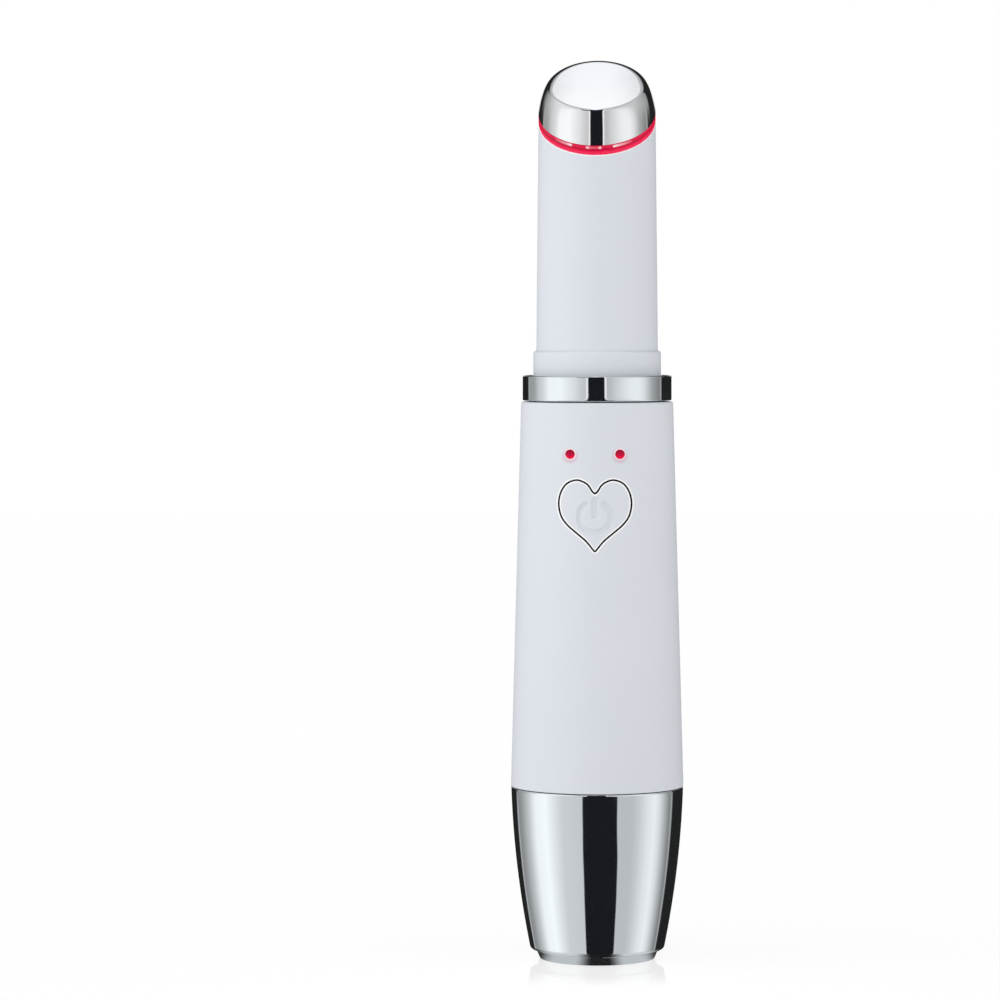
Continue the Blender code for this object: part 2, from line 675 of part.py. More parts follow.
def make_switch(stem_end):
    """The tact switch on the board and its plunger, which the button's stem pushes in."""
    front = BOARD_FRONT + GAP
    switch = box("tact_switch", (-SWITCH_SIDE / 2, -front - SWITCH_DEPTH, -SWITCH_SIDE / 2),
                 (SWITCH_SIDE / 2, -front, SWITCH_SIDE / 2), BLACK_PLASTIC,
                 place=(0, 0, button_height))
    bore = solid("switch_bore", [(PLUNGER_RADIUS + GAP, front - OVERRUN),
                                 (PLUNGER_RADIUS + GAP, front + SWITCH_DEPTH + OVERRUN)],
                 sides=INNER_SIDES, turn=(pi / 2, 0, 0), place=(0, 0, button_height))
    cut(switch, bore)
    tip = stem_end - GAP
    solid("switch_plunger", [(PLUNGER_RADIUS, -PLUNGER_LENGTH / 2), (PLUNGER_RADIUS, PLUNGER_LENGTH / 2)],
          BRASS, sides=INNER_SIDES, turn=(pi / 2, 0, 0),
          place=(0, -tip + PLUNGER_LENGTH / 2, button_height))


def make_indicators():
    """Two red indicator lenses in the handle's front, each over its light on the board."""
    for side, word in ((-1, "left"), (1, "right")):
        x = side * LENS_SPACING / 2
        outside = sqrt(handle_radius(lens_height) ** 2 - x ** 2)
        bore = handle_radius(lens_height) - HANDLE_WALL
        inside = sqrt(bore ** 2 - (abs(x) + LENS_FLANGE_RADIUS) ** 2) - GAP
        start = BOARD_FRONT + GAP + INDICATOR_LED_DEPTH + GAP
        profile = [(LENS_RADIUS, start), (LENS_RADIUS, inside - LENS_FLANGE_THICKNESS),
                   (LENS_FLANGE_RADIUS, inside - LENS_FLANGE_THICKNESS), (LENS_FLANGE_RADIUS, inside),
                   (LENS_RADIUS, inside), (LENS_RADIUS, outside - LENS_RADIUS / 2),
                   (LENS_RADIUS / 2, outside)]
        solid(f"indicator_lens_{word}", profile, RED_LIGHT_PLASTIC, sides=SMALL_SIDES, turn=(pi / 2, 0, 0),
              place=(x, 0, lens_height))
        block(f"indicator_led_{word}", (INDICATOR_LED_WIDTH, INDICATOR_LED_DEPTH, INDICATOR_LED_HEIGHT),
              BOARD_FRONT + GAP, (x, lens_height), CERAMIC_WHITE)


def make_board():
    """The main board stands behind the button, held on the frame by two screws."""
    board = box("main_board", (-BOARD_HALF_WIDTH, -BOARD_FRONT, board_bottom),
                (BOARD_HALF_WIDTH, -board_back, board_top), GREEN_BOARD)
    front = BOARD_FRONT + GAP
    for name, size, (x, drop), look in (("controller_chip", CHIP_SIZE, CHIP_PLACE, BLACK_PLASTIC),
                                        ("power_inductor", INDUCTOR_SIZE, INDUCTOR_PLACE, GREY_RUBBER),
                                        ("storage_capacitor", CAPACITOR_SIZE, CAPACITOR_PLACE, BRASS)):
        block(name, size, front, (x, button_height - drop), look)
    tip = plate_back + FRAME_PLATE_THICKNESS / 4
    holes = []
    places = (("board_screw_lower", -SCREW_LOWER_OFFSET, board_bottom + SCREW_LOWER_RISE),
              ("board_screw_upper", SCREW_UPPER_OFFSET, button_height - SCREW_UPPER_DROP))
    for name, x, height in places:
        profile = [(SCREW_RADIUS, tip), (SCREW_RADIUS, front), (SCREW_HEAD_RADIUS, front),
                   (SCREW_HEAD_RADIUS, front + SCREW_HEAD_HEIGHT / 2),
                   (SCREW_HEAD_RADIUS / 2, front + SCREW_HEAD_HEIGHT)]
        solid(name, profile, STEEL, sides=SMALL_SIDES, turn=(pi / 2, 0, 0), place=(x, 0, height))
        hole = solid(name + "_hole", [(SCREW_RADIUS + GAP, plate_back - OVERRUN),
                                      (SCREW_RADIUS + GAP, BOARD_FRONT + OVERRUN)],
                     sides=SMALL_SIDES, turn=(pi / 2, 0, 0), place=(x, 0, height))
        cut(board, hole)
        holes.append(hole)
    return holes


def make_frame(holes):
    """The inner frame: a plate with rails, a flange on the spigot's end, a round plate under the neck."""
    spigot_radius = base_radius(spigot_bottom) - BASE_WALL - GAP
    core_radius = spigot_radius - SPIGOT_WALL - GAP
    flange_bottom = spigot_bottom - GAP - FRAME_FLANGE_THICKNESS
    flange_radius = base_radius(flange_bottom) - BASE_WALL - GAP
    frame = solid("inner_frame", [(flange_radius, flange_bottom), (flange_radius, spigot_bottom - GAP),
                                  (core_radius, spigot_bottom - GAP), (core_radius, foot_top)],
                  FRAME_PLASTIC, sides=OUTER_SIDES)
    middle = frame_top + FRAME_TOP_THICKNESS / 2
    rail_bottom = foot_top - FRAME_FOOT_THICKNESS / 2
    plate = box("frame_plate", (-FRAME_PLATE_HALF_WIDTH, -plate_front, rail_bottom),
                (FRAME_PLATE_HALF_WIDTH, -plate_back, middle))
    join(frame, plate)
    for name, side in (("frame_rail_left", -1), ("frame_rail_right", 1)):
        near = CELL_RADIUS + GAP
        low, high = sorted((side * near, side * (near + FRAME_RAIL_THICKNESS)))
        rail = box(name, (low, -plate_back - FRAME_PLATE_THICKNESS / 2, rail_bottom),
                   (high, -plate_back + FRAME_RAIL_DEPTH, foot_top + cell_length))
        join(frame, rail)
    head = solid("frame_head", [(core_radius, frame_top), (core_radius, frame_top + FRAME_TOP_THICKNESS)],
                 sides=OUTER_SIDES)
    join(frame, head)
    window = box("frame_window", (-FRAME_WINDOW_HALF_WIDTH, -FRAME_WINDOW_FRONT, frame_top - OVERRUN),
                 (FRAME_WINDOW_HALF_WIDTH, -plate_front - GAP, frame_top + FRAME_TOP_THICKNESS + OVERRUN))
    gate = box("frame_lead_gate", (-FRAME_LEAD_HALF_WIDTH, -FRAME_LEAD_FRONT, flange_bottom - OVERRUN),
               (FRAME_LEAD_HALF_WIDTH, -plate_front - GAP, foot_top + OVERRUN))
    slot_bottom = foot_top + cell_length + FRAME_SLOT_HEIGHT
    slot = box("frame_slot", (-FRAME_SLOT_HALF_WIDTH, -plate_front - OVERRUN, slot_bottom),
               (FRAME_SLOT_HALF_WIDTH, -plate_back + OVERRUN, slot_bottom + FRAME_SLOT_HEIGHT))
    cut(frame, window, gate, slot, *holes)
    return slot_bottom + FRAME_SLOT_HEIGHT / 2


def make_cell(slot_height):
    """The rechargeable cell behind the frame's plate, with its welded tabs, foam pad and leads."""
    tab_bottom = foot_top + GAP
    bottom = tab_bottom + TAB_THICKNESS + GAP
    top = bottom + cell_length - CELL_NUB_HEIGHT
    profile = [(CELL_RADIUS - CELL_EDGE, bottom), (CELL_RADIUS, bottom + CELL_EDGE),
               (CELL_RADIUS, top - CELL_EDGE), (CELL_RADIUS - CELL_EDGE, top),
               (CELL_NUB_RADIUS, top), (CELL_NUB_RADIUS, top + CELL_NUB_HEIGHT)]
    solid("battery_cell", profile, BLUE_WRAP, place=(0, cell_centre, 0))
    upper = top + CELL_NUB_HEIGHT + GAP
    box("battery_tab_top", (-TAB_WIDTH / 2, -TAB_WIDTH / 2, upper),
        (TAB_REACH, TAB_WIDTH / 2, upper + TAB_THICKNESS), STEEL, place=(0, cell_centre, 0))
    off = GAP + LEAD_RADIUS
    around = CELL_RADIUS + off
    box("battery_tab_bottom", (-TAB_WIDTH / 2, -TAB_WIDTH / 2, tab_bottom),
        (TAB_WIDTH / 2, around, tab_bottom + TAB_THICKNESS), STEEL, place=(0, cell_centre, 0))
    back = cell_centre + CELL_RADIUS + GAP
    box("battery_pad", (-PAD_WIDTH / 2, back, foot_top + PAD_RISE),
        (PAD_WIDTH / 2, back + PAD_THICKNESS, foot_top + PAD_RISE + PAD_LENGTH), FOAM)
    end = -board_back + off
    x = TAB_REACH - off
    exit_x = FRAME_SLOT_HALF_WIDTH - off * 2
    through = [(-plate_back + off, slot_height), (end, slot_height)]
    lead("battery_lead_plus", [(x, cell_centre, upper + TAB_THICKNESS + off),
                               (x - off / 2, cell_centre / 2, slot_height - LEAD_RADIUS * 2),
                               *((exit_x, y, z) for y, z in through)], RED_LEAD)
    start = tab_bottom + TAB_THICKNESS + off
    climb = [(around * cos(radians(angle)), cell_centre + around * sin(radians(angle)),
              start + cell_length * share) for angle, share in zip(CELL_LEAD_ANGLES, CELL_LEAD_SHARES)]
    lead("battery_lead_minus", [*climb, (-exit_x - off, cell_centre / 2, slot_height - LEAD_RADIUS * 2),
                                *((-exit_x, y, z) for y, z in through)], BLACK_LEAD)


def make_ring():
    """The chrome trim ring, trapped between the handle's rim and the collar, which sits in its recess."""
    edge = RING_RADIUS - RING_EDGE
    recess = COLLAR_RADIUS + GAP
    seat = ring_top - RING_SEAT_DEPTH
    profile = [(rim_bore_radius, ring_bottom), (edge, ring_bottom), (RING_RADIUS, ring_bottom + RING_EDGE),
               (RING_RADIUS, ring_top - RING_EDGE), (edge, ring_top), (recess, ring_top),
               (recess, seat), (rim_bore_radius, seat)]
    turned("chrome_ring", profile, CHROME, sides=OUTER_SIDES)


def make_neck():
    """The white neck: a tube with a collar, cut at the head's lean, and a seat for the light board."""
    top = light_bottom - GAP
    seat_radius = NECK_TOP_RADIUS - NECK_SEAT_WALL
    shoulder = corner(COLLAR_RADIUS - COLLAR_EDGE, neck_bottom - COLLAR_EDGE, COLLAR_EDGE, 0)
    profile = [
        (neck_bore_radius, skirt_bottom), (NECK_SKIRT_RADIUS, skirt_bottom),
        (NECK_SKIRT_RADIUS, collar_bottom), (COLLAR_RADIUS, collar_bottom), *shoulder[:-1],
        (NECK_BOTTOM_RADIUS, neck_bottom),
        (NECK_TOP_RADIUS, top, lean_slope), (seat_radius, top, lean_slope),
        (seat_radius, neck_bore_end, lean_slope), (neck_bore_top, neck_bore_end, lean_slope),
    ]
    turned("neck_tube", profile, WHITE_PLASTIC, sides=OUTER_SIDES)


def make_light_parts():
    """The lit ring between neck and head, and the ring-shaped board with its lights below it."""
    top = head_bottom - GAP
    section = [(light_ring_bore, light_bottom), (NECK_TOP_RADIUS, light_bottom),
               (NECK_TOP_RADIUS, top), (light_ring_bore, top)]
    turned("light_ring", [(*point, lean_slope) for point in section], RED_LIGHT_PLASTIC, sides=OUTER_SIDES)
    low = neck_bore_end + GAP
    high = low + LIGHT_BOARD_THICKNESS
    section = [(light_board_hole, low), (light_board_radius, low), (light_board_radius, high),
               (light_board_hole, high)]
    turned("light_board", [(*point, lean_slope) for point in section], GREEN_BOARD)
    middle = light_board_radius - LIGHT_LED_DEPTH / 2 - GAP / 2
    for index in range(LIGHT_LED_COUNT):
        angle = 2 * pi * (index + 0.5) / LIGHT_LED_COUNT
        corners = []
        for across, along in ((-1, -1), (1, -1), (1, 1), (-1, 1)):
            out = middle + across * LIGHT_LED_DEPTH / 2
            side = along * LIGHT_LED_WIDTH / 2
            corners.append((out * cos(angle) - side * sin(angle), out * sin(angle) + side * cos(angle)))
        rings = [[(x, y, height + lean_slope * y) for x, y in corners]
                 for height in (high + GAP, high + GAP + LIGHT_LED_HEIGHT)]
        skin(f"light_led_{index + 1}", rings, CERAMIC_WHITE)
    return low


def make_head():
    """The massage head: a thin metal cap, a leaning ellipse below and a slightly crowned face above."""

    def rings_of(inset, top):
        """Rings up the cap's wall, on a curve from the base past the shoulder to the face's edge."""
        rings = []
        for t in SHOULDER_RING_SHARES:
            start, pull, stop = (1 - t) ** 2, 2 * t * (1 - t), t ** 2
            width = (start * NECK_TOP_RADIUS + pull * (NECK_TOP_RADIUS - SHOULDER_SIDE_INSET)
                     + stop * face_half_width)
            length = (start * NECK_TOP_RADIUS * lean_stretch
                      + pull * (NECK_TOP_RADIUS - SHOULDER_END_INSET) + stop * face_half_length)
            rise = (pull * SHOULDER_HEIGHT_SHARE + stop) * top
            rings.append((width - inset, length - inset, rise, FACE_SHIFT * (pull + stop)))
        return rings

    edge_height = HEAD_HEIGHT - HEAD_EDGE
    outer = rings_of(0.0, edge_height)
    face = [(face_half_width - HEAD_EDGE * (1 - cos(pi / 6 * step)),
             face_half_length - HEAD_EDGE * (1 - cos(pi / 6 * step)),
             edge_height + HEAD_EDGE * sin(pi / 6 * step), FACE_SHIFT) for step in range(1, 4)]
    cavity_top = HEAD_HEIGHT - HEAD_WALL
    cavity = [ring for ring in rings_of(HEAD_WALL, cavity_top) if ring[2] > HEAD_LIP_HEIGHT + GAP]
    lip_top = (cavity[0][0], cavity[0][1], HEAD_LIP_HEIGHT, cavity[0][3])
    order = [(light_ring_bore, light_ring_bore * lean_stretch, height, 0)
             for height in (HEAD_LIP_HEIGHT, 0)]
    shells = [*reversed([lip_top, *cavity]), *order, *outer, *face]
    rings = [ellipse(width, length, height, shift) for width, length, height, shift in shells]
    rings = [[(0, FACE_SHIFT, cavity_top)], *rings, [(0, FACE_SHIFT, HEAD_HEIGHT + HEAD_CROWN)]]
    place, turn = (0, 0, head_bottom), (HEAD_LEAN, 0, 0)
    skin("massage_head", rings, CHROME, place=place, turn=turn)
    heater_top = cavity_top - GAP
    heater_bottom = heater_top - HEATER_THICKNESS
    solid("heater_plate", [(carrier_radius, heater_bottom), (carrier_radius, heater_top)],
          BRASS, place=place, turn=turn)
    flange = light_ring_bore - GAP
    shelf = heater_bottom - GAP
    low, ledge = -CARRIER_TUBE_DROP, -CARRIER_FLANGE_DROP
    tube = [(carrier_bore, low), (carrier_radius, low), (carrier_radius, ledge), (flange, ledge),
            (flange, 0)]
    rings = [ellipse(radius, radius * lean_stretch, height, height * lean_slope, INNER_SIDES)
             for radius, height in tube]
    rings.append(ellipse(flange, flange * lean_stretch, HEAD_LIP_HEIGHT, sides=INNER_SIDES))
    post = ((carrier_radius, HEAD_LIP_HEIGHT), (carrier_radius, shelf), (carrier_bore, shelf),
            (carrier_bore, 0))
    rings += [ellipse(radius, radius, height, sides=INNER_SIDES) for radius, height in post]
    skin("head_carrier", rings, FRAME_PLASTIC, closed=True, place=place, turn=turn)
    bead = solid("thermistor", [(THERMISTOR_RADIUS / 2, -THERMISTOR_LENGTH / 2),
                                (THERMISTOR_RADIUS, -THERMISTOR_LENGTH / 4),
                                (THERMISTOR_RADIUS, THERMISTOR_LENGTH / 4),
                                (THERMISTOR_RADIUS / 2, THERMISTOR_LENGTH / 2)], BLACK_PLASTIC,
                 sides=SMALL_SIDES, turn=(0, pi / 2, 0))
    drop = heater_bottom - GAP - THERMISTOR_RADIUS
    bead.location = head_point(0, carrier_bore * THERMISTOR_PLACE_SHARE, drop)
    return heater_bottom


def head_point(x, back, rise):
    """A place in the head's own leaning frame, given in the wand's frame."""
    return (x, back * cos(HEAD_LEAN) - rise * sin(HEAD_LEAN),
            head_bottom + back * sin(HEAD_LEAN) + rise * cos(HEAD_LEAN))


def make_motor():
    """The vibration motor: a can with its end cap, and a rotor whose shaft carries an uneven weight."""
    top = motor_bottom + MOTOR_LENGTH
    bore = MOTOR_RADIUS - MOTOR_WALL
    shaft_hole = SHAFT_RADIUS + GAP
    turned("motor_can", [(shaft_hole, top - MOTOR_WALL * 2), (shaft_hole, top), (MOTOR_RADIUS, top),
                         (MOTOR_RADIUS, motor_bottom), (bore, motor_bottom),
                         (bore, top - MOTOR_WALL * 2)], STEEL)
    cap_bottom = motor_bottom - MOTOR_CAP_DROP
    cap_top = cap_bottom + MOTOR_CAP_THICKNESS
    turned("motor_end_cap", [(shaft_hole, cap_bottom), (bore - GAP, cap_bottom), (bore - GAP, cap_top),
                             (shaft_hole, cap_top)], BLACK_PLASTIC)
    rotor_low, rotor_high = cap_top + GAP, top - MOTOR_WALL * 2 - GAP
    axis = bpy.data.objects.new("rotor_axis", None)
    axis.location = (0, 0, motor_bottom)
    bpy.context.scene.collection.objects.link(axis)
    profile = [(SHAFT_RADIUS, cap_bottom), (SHAFT_RADIUS, rotor_low), (ROTOR_RADIUS, rotor_low),
               (ROTOR_RADIUS, rotor_high), (SHAFT_RADIUS, rotor_high), (SHAFT_RADIUS, top + SHAFT_REACH)]
    profile = [(radius, height - motor_bottom) for radius, height in profile]
    rotor = solid("motor_rotor", profile, BRASS)
    half = [(WEIGHT_RADIUS * cos(angle), WEIGHT_RADIUS * sin(angle))
            for angle in (pi + pi * step / SMALL_SIDES for step in range(SMALL_SIDES + 1))]
    hub = [(WEIGHT_HUB_RADIUS * cos(angle), WEIGHT_HUB_RADIUS * sin(angle))
           for angle in (pi * step / SMALL_SIDES for step in range(SMALL_SIDES + 1))]
    high = top + SHAFT_REACH - GAP - motor_bottom
    low = high - WEIGHT_LENGTH
    weight = upright_prism("eccentric_weight", half + hub, low, high, STEEL)
    bore_cut = solid("weight_bore", [(shaft_hole, low - OVERRUN), (shaft_hole, high + OVERRUN)])
    cut(weight, bore_cut)
    for piece in (rotor, weight, bore_cut):
        piece.parent = axis
    low = motor_bottom + (MOTOR_LENGTH - SLEEVE_LENGTH) / 2
    high = low + SLEEVE_LENGTH
    inner = MOTOR_RADIUS + GAP
    lower, upper = (neck_bore(height) - GAP for height in (low, high))
    sleeve = turned("motor_sleeve", [(inner, low), (lower - SLEEVE_EDGE, low), (lower, low + SLEEVE_EDGE),
                                     (upper, high - SLEEVE_EDGE), (upper - SLEEVE_EDGE, high),
                                     (inner, high)], GREY_RUBBER)
    front = neck_lead_back(high) - SLEEVE_GROOVE_ROOM
    groove = box("sleeve_groove", (-SLEEVE_GROOVE_HALF_WIDTH, front, low - OVERRUN),
                 (SLEEVE_GROOVE_HALF_WIDTH, lower + upper, high + OVERRUN))
    cut(sleeve, groove)
    return cap_bottom, low, high


def make_neck_leads(cap_bottom, sleeve_low, sleeve_high, light_low, heater_bottom):
    """Leads from the top of the main board to the motor, the light board and the heater."""
    off = GAP + LEAD_RADIUS
    face = -BOARD_FRONT - off
    start = board_top - LEAD_BOARD_OVERLAP
    gate = frame_top + FRAME_TOP_THICKNESS + off
    rise = ((face, start), (face, gate), (0, (gate * 2 + sleeve_low) / 3),
            (neck_lead_back(sleeve_low), sleeve_low - off), (neck_lead_back(sleeve_high), sleeve_high))
    for side, word, look in ((1, "plus", RED_LEAD), (-1, "minus", BLACK_LEAD)):
        x = side * MOTOR_LEAD_OFFSET
        lead(f"motor_lead_{word}", [(x, face, start), (x, face, gate),
                                    (x, face / 2, (gate + cap_bottom) / 2),
                                    (x / 2, face / 4, cap_bottom - off * 4),
                                    (x / 2, 0, cap_bottom - off)], look)
        x = side * LIGHT_LEAD_OFFSET
        back = neck_lead_back(neck_bore_end)
        height = light_low + lean_slope * back - off
        lead(f"light_lead_{word}", [(x, *point) for point in
                                    (*rise, (back, (sleeve_high + height) / 2), (back, height))], look)
        x = side * HEATER_LEAD_OFFSET
        lead(f"heater_lead_{word}", [*((x, *point) for point in rise),
                                     head_point(x, 0, -CARRIER_TUBE_DROP * 2),
                                     head_point(x, 0, -CARRIER_TUBE_DROP / 2),
                                     head_point(x, 0, heater_bottom - off)], look)


make_foot()
make_charge_parts()
make_base()
make_handle()
make_switch(make_button())
make_indicators()
make_cell(make_frame(make_board()))
make_ring()
make_neck()
light_board_bottom = make_light_parts()
heater_underside = make_head()
make_neck_leads(*make_motor(), light_board_bottom, heater_underside)
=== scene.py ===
"""Looks of the heated eye massager wand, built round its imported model.

Metres, +Z up, the front toward -Y, as in the model. One section follows another as the wand is put
together, from the foot to the head and then the parts inside.
"""
import json
import bmesh
import bpy
import numpy as np
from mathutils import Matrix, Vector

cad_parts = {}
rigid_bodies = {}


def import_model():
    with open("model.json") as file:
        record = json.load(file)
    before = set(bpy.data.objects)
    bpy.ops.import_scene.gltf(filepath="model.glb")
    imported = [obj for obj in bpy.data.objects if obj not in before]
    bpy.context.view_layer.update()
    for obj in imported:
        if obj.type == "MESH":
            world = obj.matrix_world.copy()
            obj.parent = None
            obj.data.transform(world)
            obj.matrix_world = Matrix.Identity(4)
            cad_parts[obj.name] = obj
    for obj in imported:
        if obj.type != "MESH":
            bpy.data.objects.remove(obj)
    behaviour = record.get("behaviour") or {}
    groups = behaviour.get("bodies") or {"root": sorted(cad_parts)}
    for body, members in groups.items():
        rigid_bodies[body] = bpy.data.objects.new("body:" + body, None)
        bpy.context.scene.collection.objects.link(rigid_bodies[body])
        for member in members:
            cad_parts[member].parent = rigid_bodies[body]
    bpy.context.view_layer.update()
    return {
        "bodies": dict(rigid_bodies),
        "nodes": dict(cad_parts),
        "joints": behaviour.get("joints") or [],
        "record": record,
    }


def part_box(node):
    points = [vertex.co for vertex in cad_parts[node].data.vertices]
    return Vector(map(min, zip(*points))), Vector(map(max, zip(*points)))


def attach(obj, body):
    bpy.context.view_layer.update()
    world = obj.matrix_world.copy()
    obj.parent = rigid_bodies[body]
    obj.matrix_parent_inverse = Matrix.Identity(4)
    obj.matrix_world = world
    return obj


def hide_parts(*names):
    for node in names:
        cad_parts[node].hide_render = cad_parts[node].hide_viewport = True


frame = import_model()
mm = 0.001


# The studio: a long lens level with the neck, a white floor, and a white room with two tall softboxes.
# Black cards stand behind the wand and a narrow one hangs in front of it, below the camera, so that the
# plated parts show the bright and dark bands that a product photographer gives to chrome.
def fill(tree, made, inputs):
    """Gives a node's inputs their values, or links them to other nodes' outputs.

    A dictionary goes by the inputs' names, and a row by their order: for a map range that is its value, the
    two ends that it runs between and what they turn into.
    """
    for name, value in inputs.items() if isinstance(inputs, dict) else enumerate(inputs):
        if isinstance(value, bpy.types.NodeSocket):
            tree.links.new(value, made.inputs[name])
        else:
            made.inputs[name].default_value = value


def node(tree, kind, settings=None, inputs=None, out=0, stops=()):
    """Adds a shader node, sets it up, and returns one of its outputs, or all of them where out is None.

    stops are a colour ramp's (place, colour) pairs; its own two stops take the first and the last.
    """
    made = tree.nodes.new("ShaderNode" + kind)
    for name, value in (settings or {}).items():
        setattr(made, name, value)
    fill(tree, made, inputs or {})
    for place, _ in stops[1:-1]:
        made.color_ramp.elements.new(place)
    for number, (place, colour) in enumerate(stops):
        made.color_ramp.elements[number].position = place
        made.color_ramp.elements[number].color = colour
    return made.outputs if out is None else made.outputs[out]


# Node settings that come up again and again
multiply = {"operation": "MULTIPLY"}
multiply_add = {"operation": "MULTIPLY_ADD"}
subtract = {"operation": "SUBTRACT"}
absolute = {"operation": "ABSOLUTE"}
blend = {"data_type": "RGBA"}
smooth = {"interpolation_type": "SMOOTHSTEP"}


def linear(code):
    """Turns an sRGB hex value into linear red, green and blue, with an alpha of one."""
    shares = np.array([int(code[place:place + 2], 16) for place in (1, 3, 5)]) / 255
    return (*np.where(shares > 0.04045, ((shares + 0.055) / 1.055) ** 2.4, shares / 12.92), 1.0)


def bearing(tree, across, along):
    """The way round the wand's axis, in radians from the front to the right."""
    toward = node(tree, "Math", multiply, [along, -1.0])
    return node(tree, "Math", {"operation": "ARCTAN2"}, [across, toward])


camera_distance = 670 * mm
camera_height = 98.35 * mm
camera_azimuth = 1.6
camera_pitch = 2.4464
camera_yaw = 1.2565
camera_roll = 0.064

lens = bpy.data.cameras.new("studio_camera")
lens.lens = 159.2
lens.sensor_width = 36.0
camera = bpy.data.objects.new("studio_camera", lens)
turn = np.radians(camera_azimuth)
camera.location = (camera_distance * np.sin(turn), -camera_distance * np.cos(turn), camera_height)
camera.rotation_euler = np.radians((90 - camera_pitch, camera_roll, camera_azimuth + camera_yaw))
bpy.context.scene.collection.objects.link(camera)
bpy.context.scene.camera = camera
bpy.context.scene.view_settings.view_transform = "Standard"

# Where the softboxes and cards stand round the wand: degrees from the camera, to the right, and brightness,
# low over the floor, at the wand's own height and above it
card_level = 0.018
card_colour = (0.0105, 0.012, 0.0155, 1)
plain_white = (1, 1, 1, 1)
edge_colour = (1.02, 1.02, 1.02, 1)
arm_colour = (0.006, 0.010, 0.045, 1)
ground_colour = (0.50, 0.52, 0.53, 1)
ceiling_offset = 0.03
ceiling_colours = ((1.05, 1.10, 1.14, 1), (1.13, 1.17, 1.20, 1))
ceiling_colours_meet = (56, 64)
studio_tint = np.array((0.97, 1.0, 1.01))
softbox_levels = {
    "low": (
        (-180, card_level), (-140, card_level), (-138.5, 0.52), (-135.5, 0.50), (-134, 0.28), (-123, 0.38),
        (-108, 0.66), (-93, 1.10), (-75, 1.20), (-59, 0.92), (-48, 0.76), (0, 0.67), (38, 0.62), (49, 0.63),
        (58, 0.72), (73, 0.94), (85, 1.06), (94, 0.88), (104, 0.56), (114, 0.29), (118, 0.27),
        (119.5, 0.48), (121.5, 0.46), (123, card_level), (180, card_level)),
    "level": (
        (-180, card_level), (-134, card_level), (-132.5, 0.44), (-126, 0.38), (-114, 0.42), (-102, 0.70),
        (-92, 0.82), (-80, 1.12), (-58, 1.15), (-50, 1.05), (-36, 0.90), (-24, 0.72), (-12, 0.62),
        (12, 0.58), (21, 0.62), (27, 0.72), (44, 0.93), (54, 1.02), (68, 1.03), (78, 0.88), (94, 0.46),
        (108, 0.29), (114, 0.27), (115.5, 0.46), (117.5, 0.44), (119, card_level), (180, card_level)),
    "high": (
        (-180, card_level), (-147, card_level), (-140, 0.14), (-130, 0.36), (-117, 0.54), (-95, 0.81),
        (-77, 0.92), (-50, 0.84), (0, 0.62), (45, 0.72), (60, 0.71), (81, 0.66), (100, 0.53), (116, 0.42),
        (127, 0.34), (131, card_level), (180, card_level)),
}

# The front card is narrow at the camera's height and wider low down, where the tapered base looks. Each row
# has the heights where a change starts and ends, in degrees, and what it goes from and to: the card's half
# width, its middle, and what the lowest part adds to both
card_changes = ((-5, -9, 12.7, 23.5), (-5, -9, -1.0, 3.6), (-12, -20, 0.0, 1.3))

# Changes in the same form, over the way to the side, back or top, from 0 to 1: the ceiling fades to its
# sides, and the plain light that dull parts see fades behind the wand and grows above it
ceiling_fade = (0.01, 0.10, 1.0, 0.5)
behind_fade = (-0.15, 0.4, 1.0, 0.2)
above_gain = (0.3, 0.9, 0.97, 1.5)

# That plain light in front, what it gains toward each side, and its tilt from the left to the right
front_light = 0.615
side_light = 1.00
right_light = -0.30


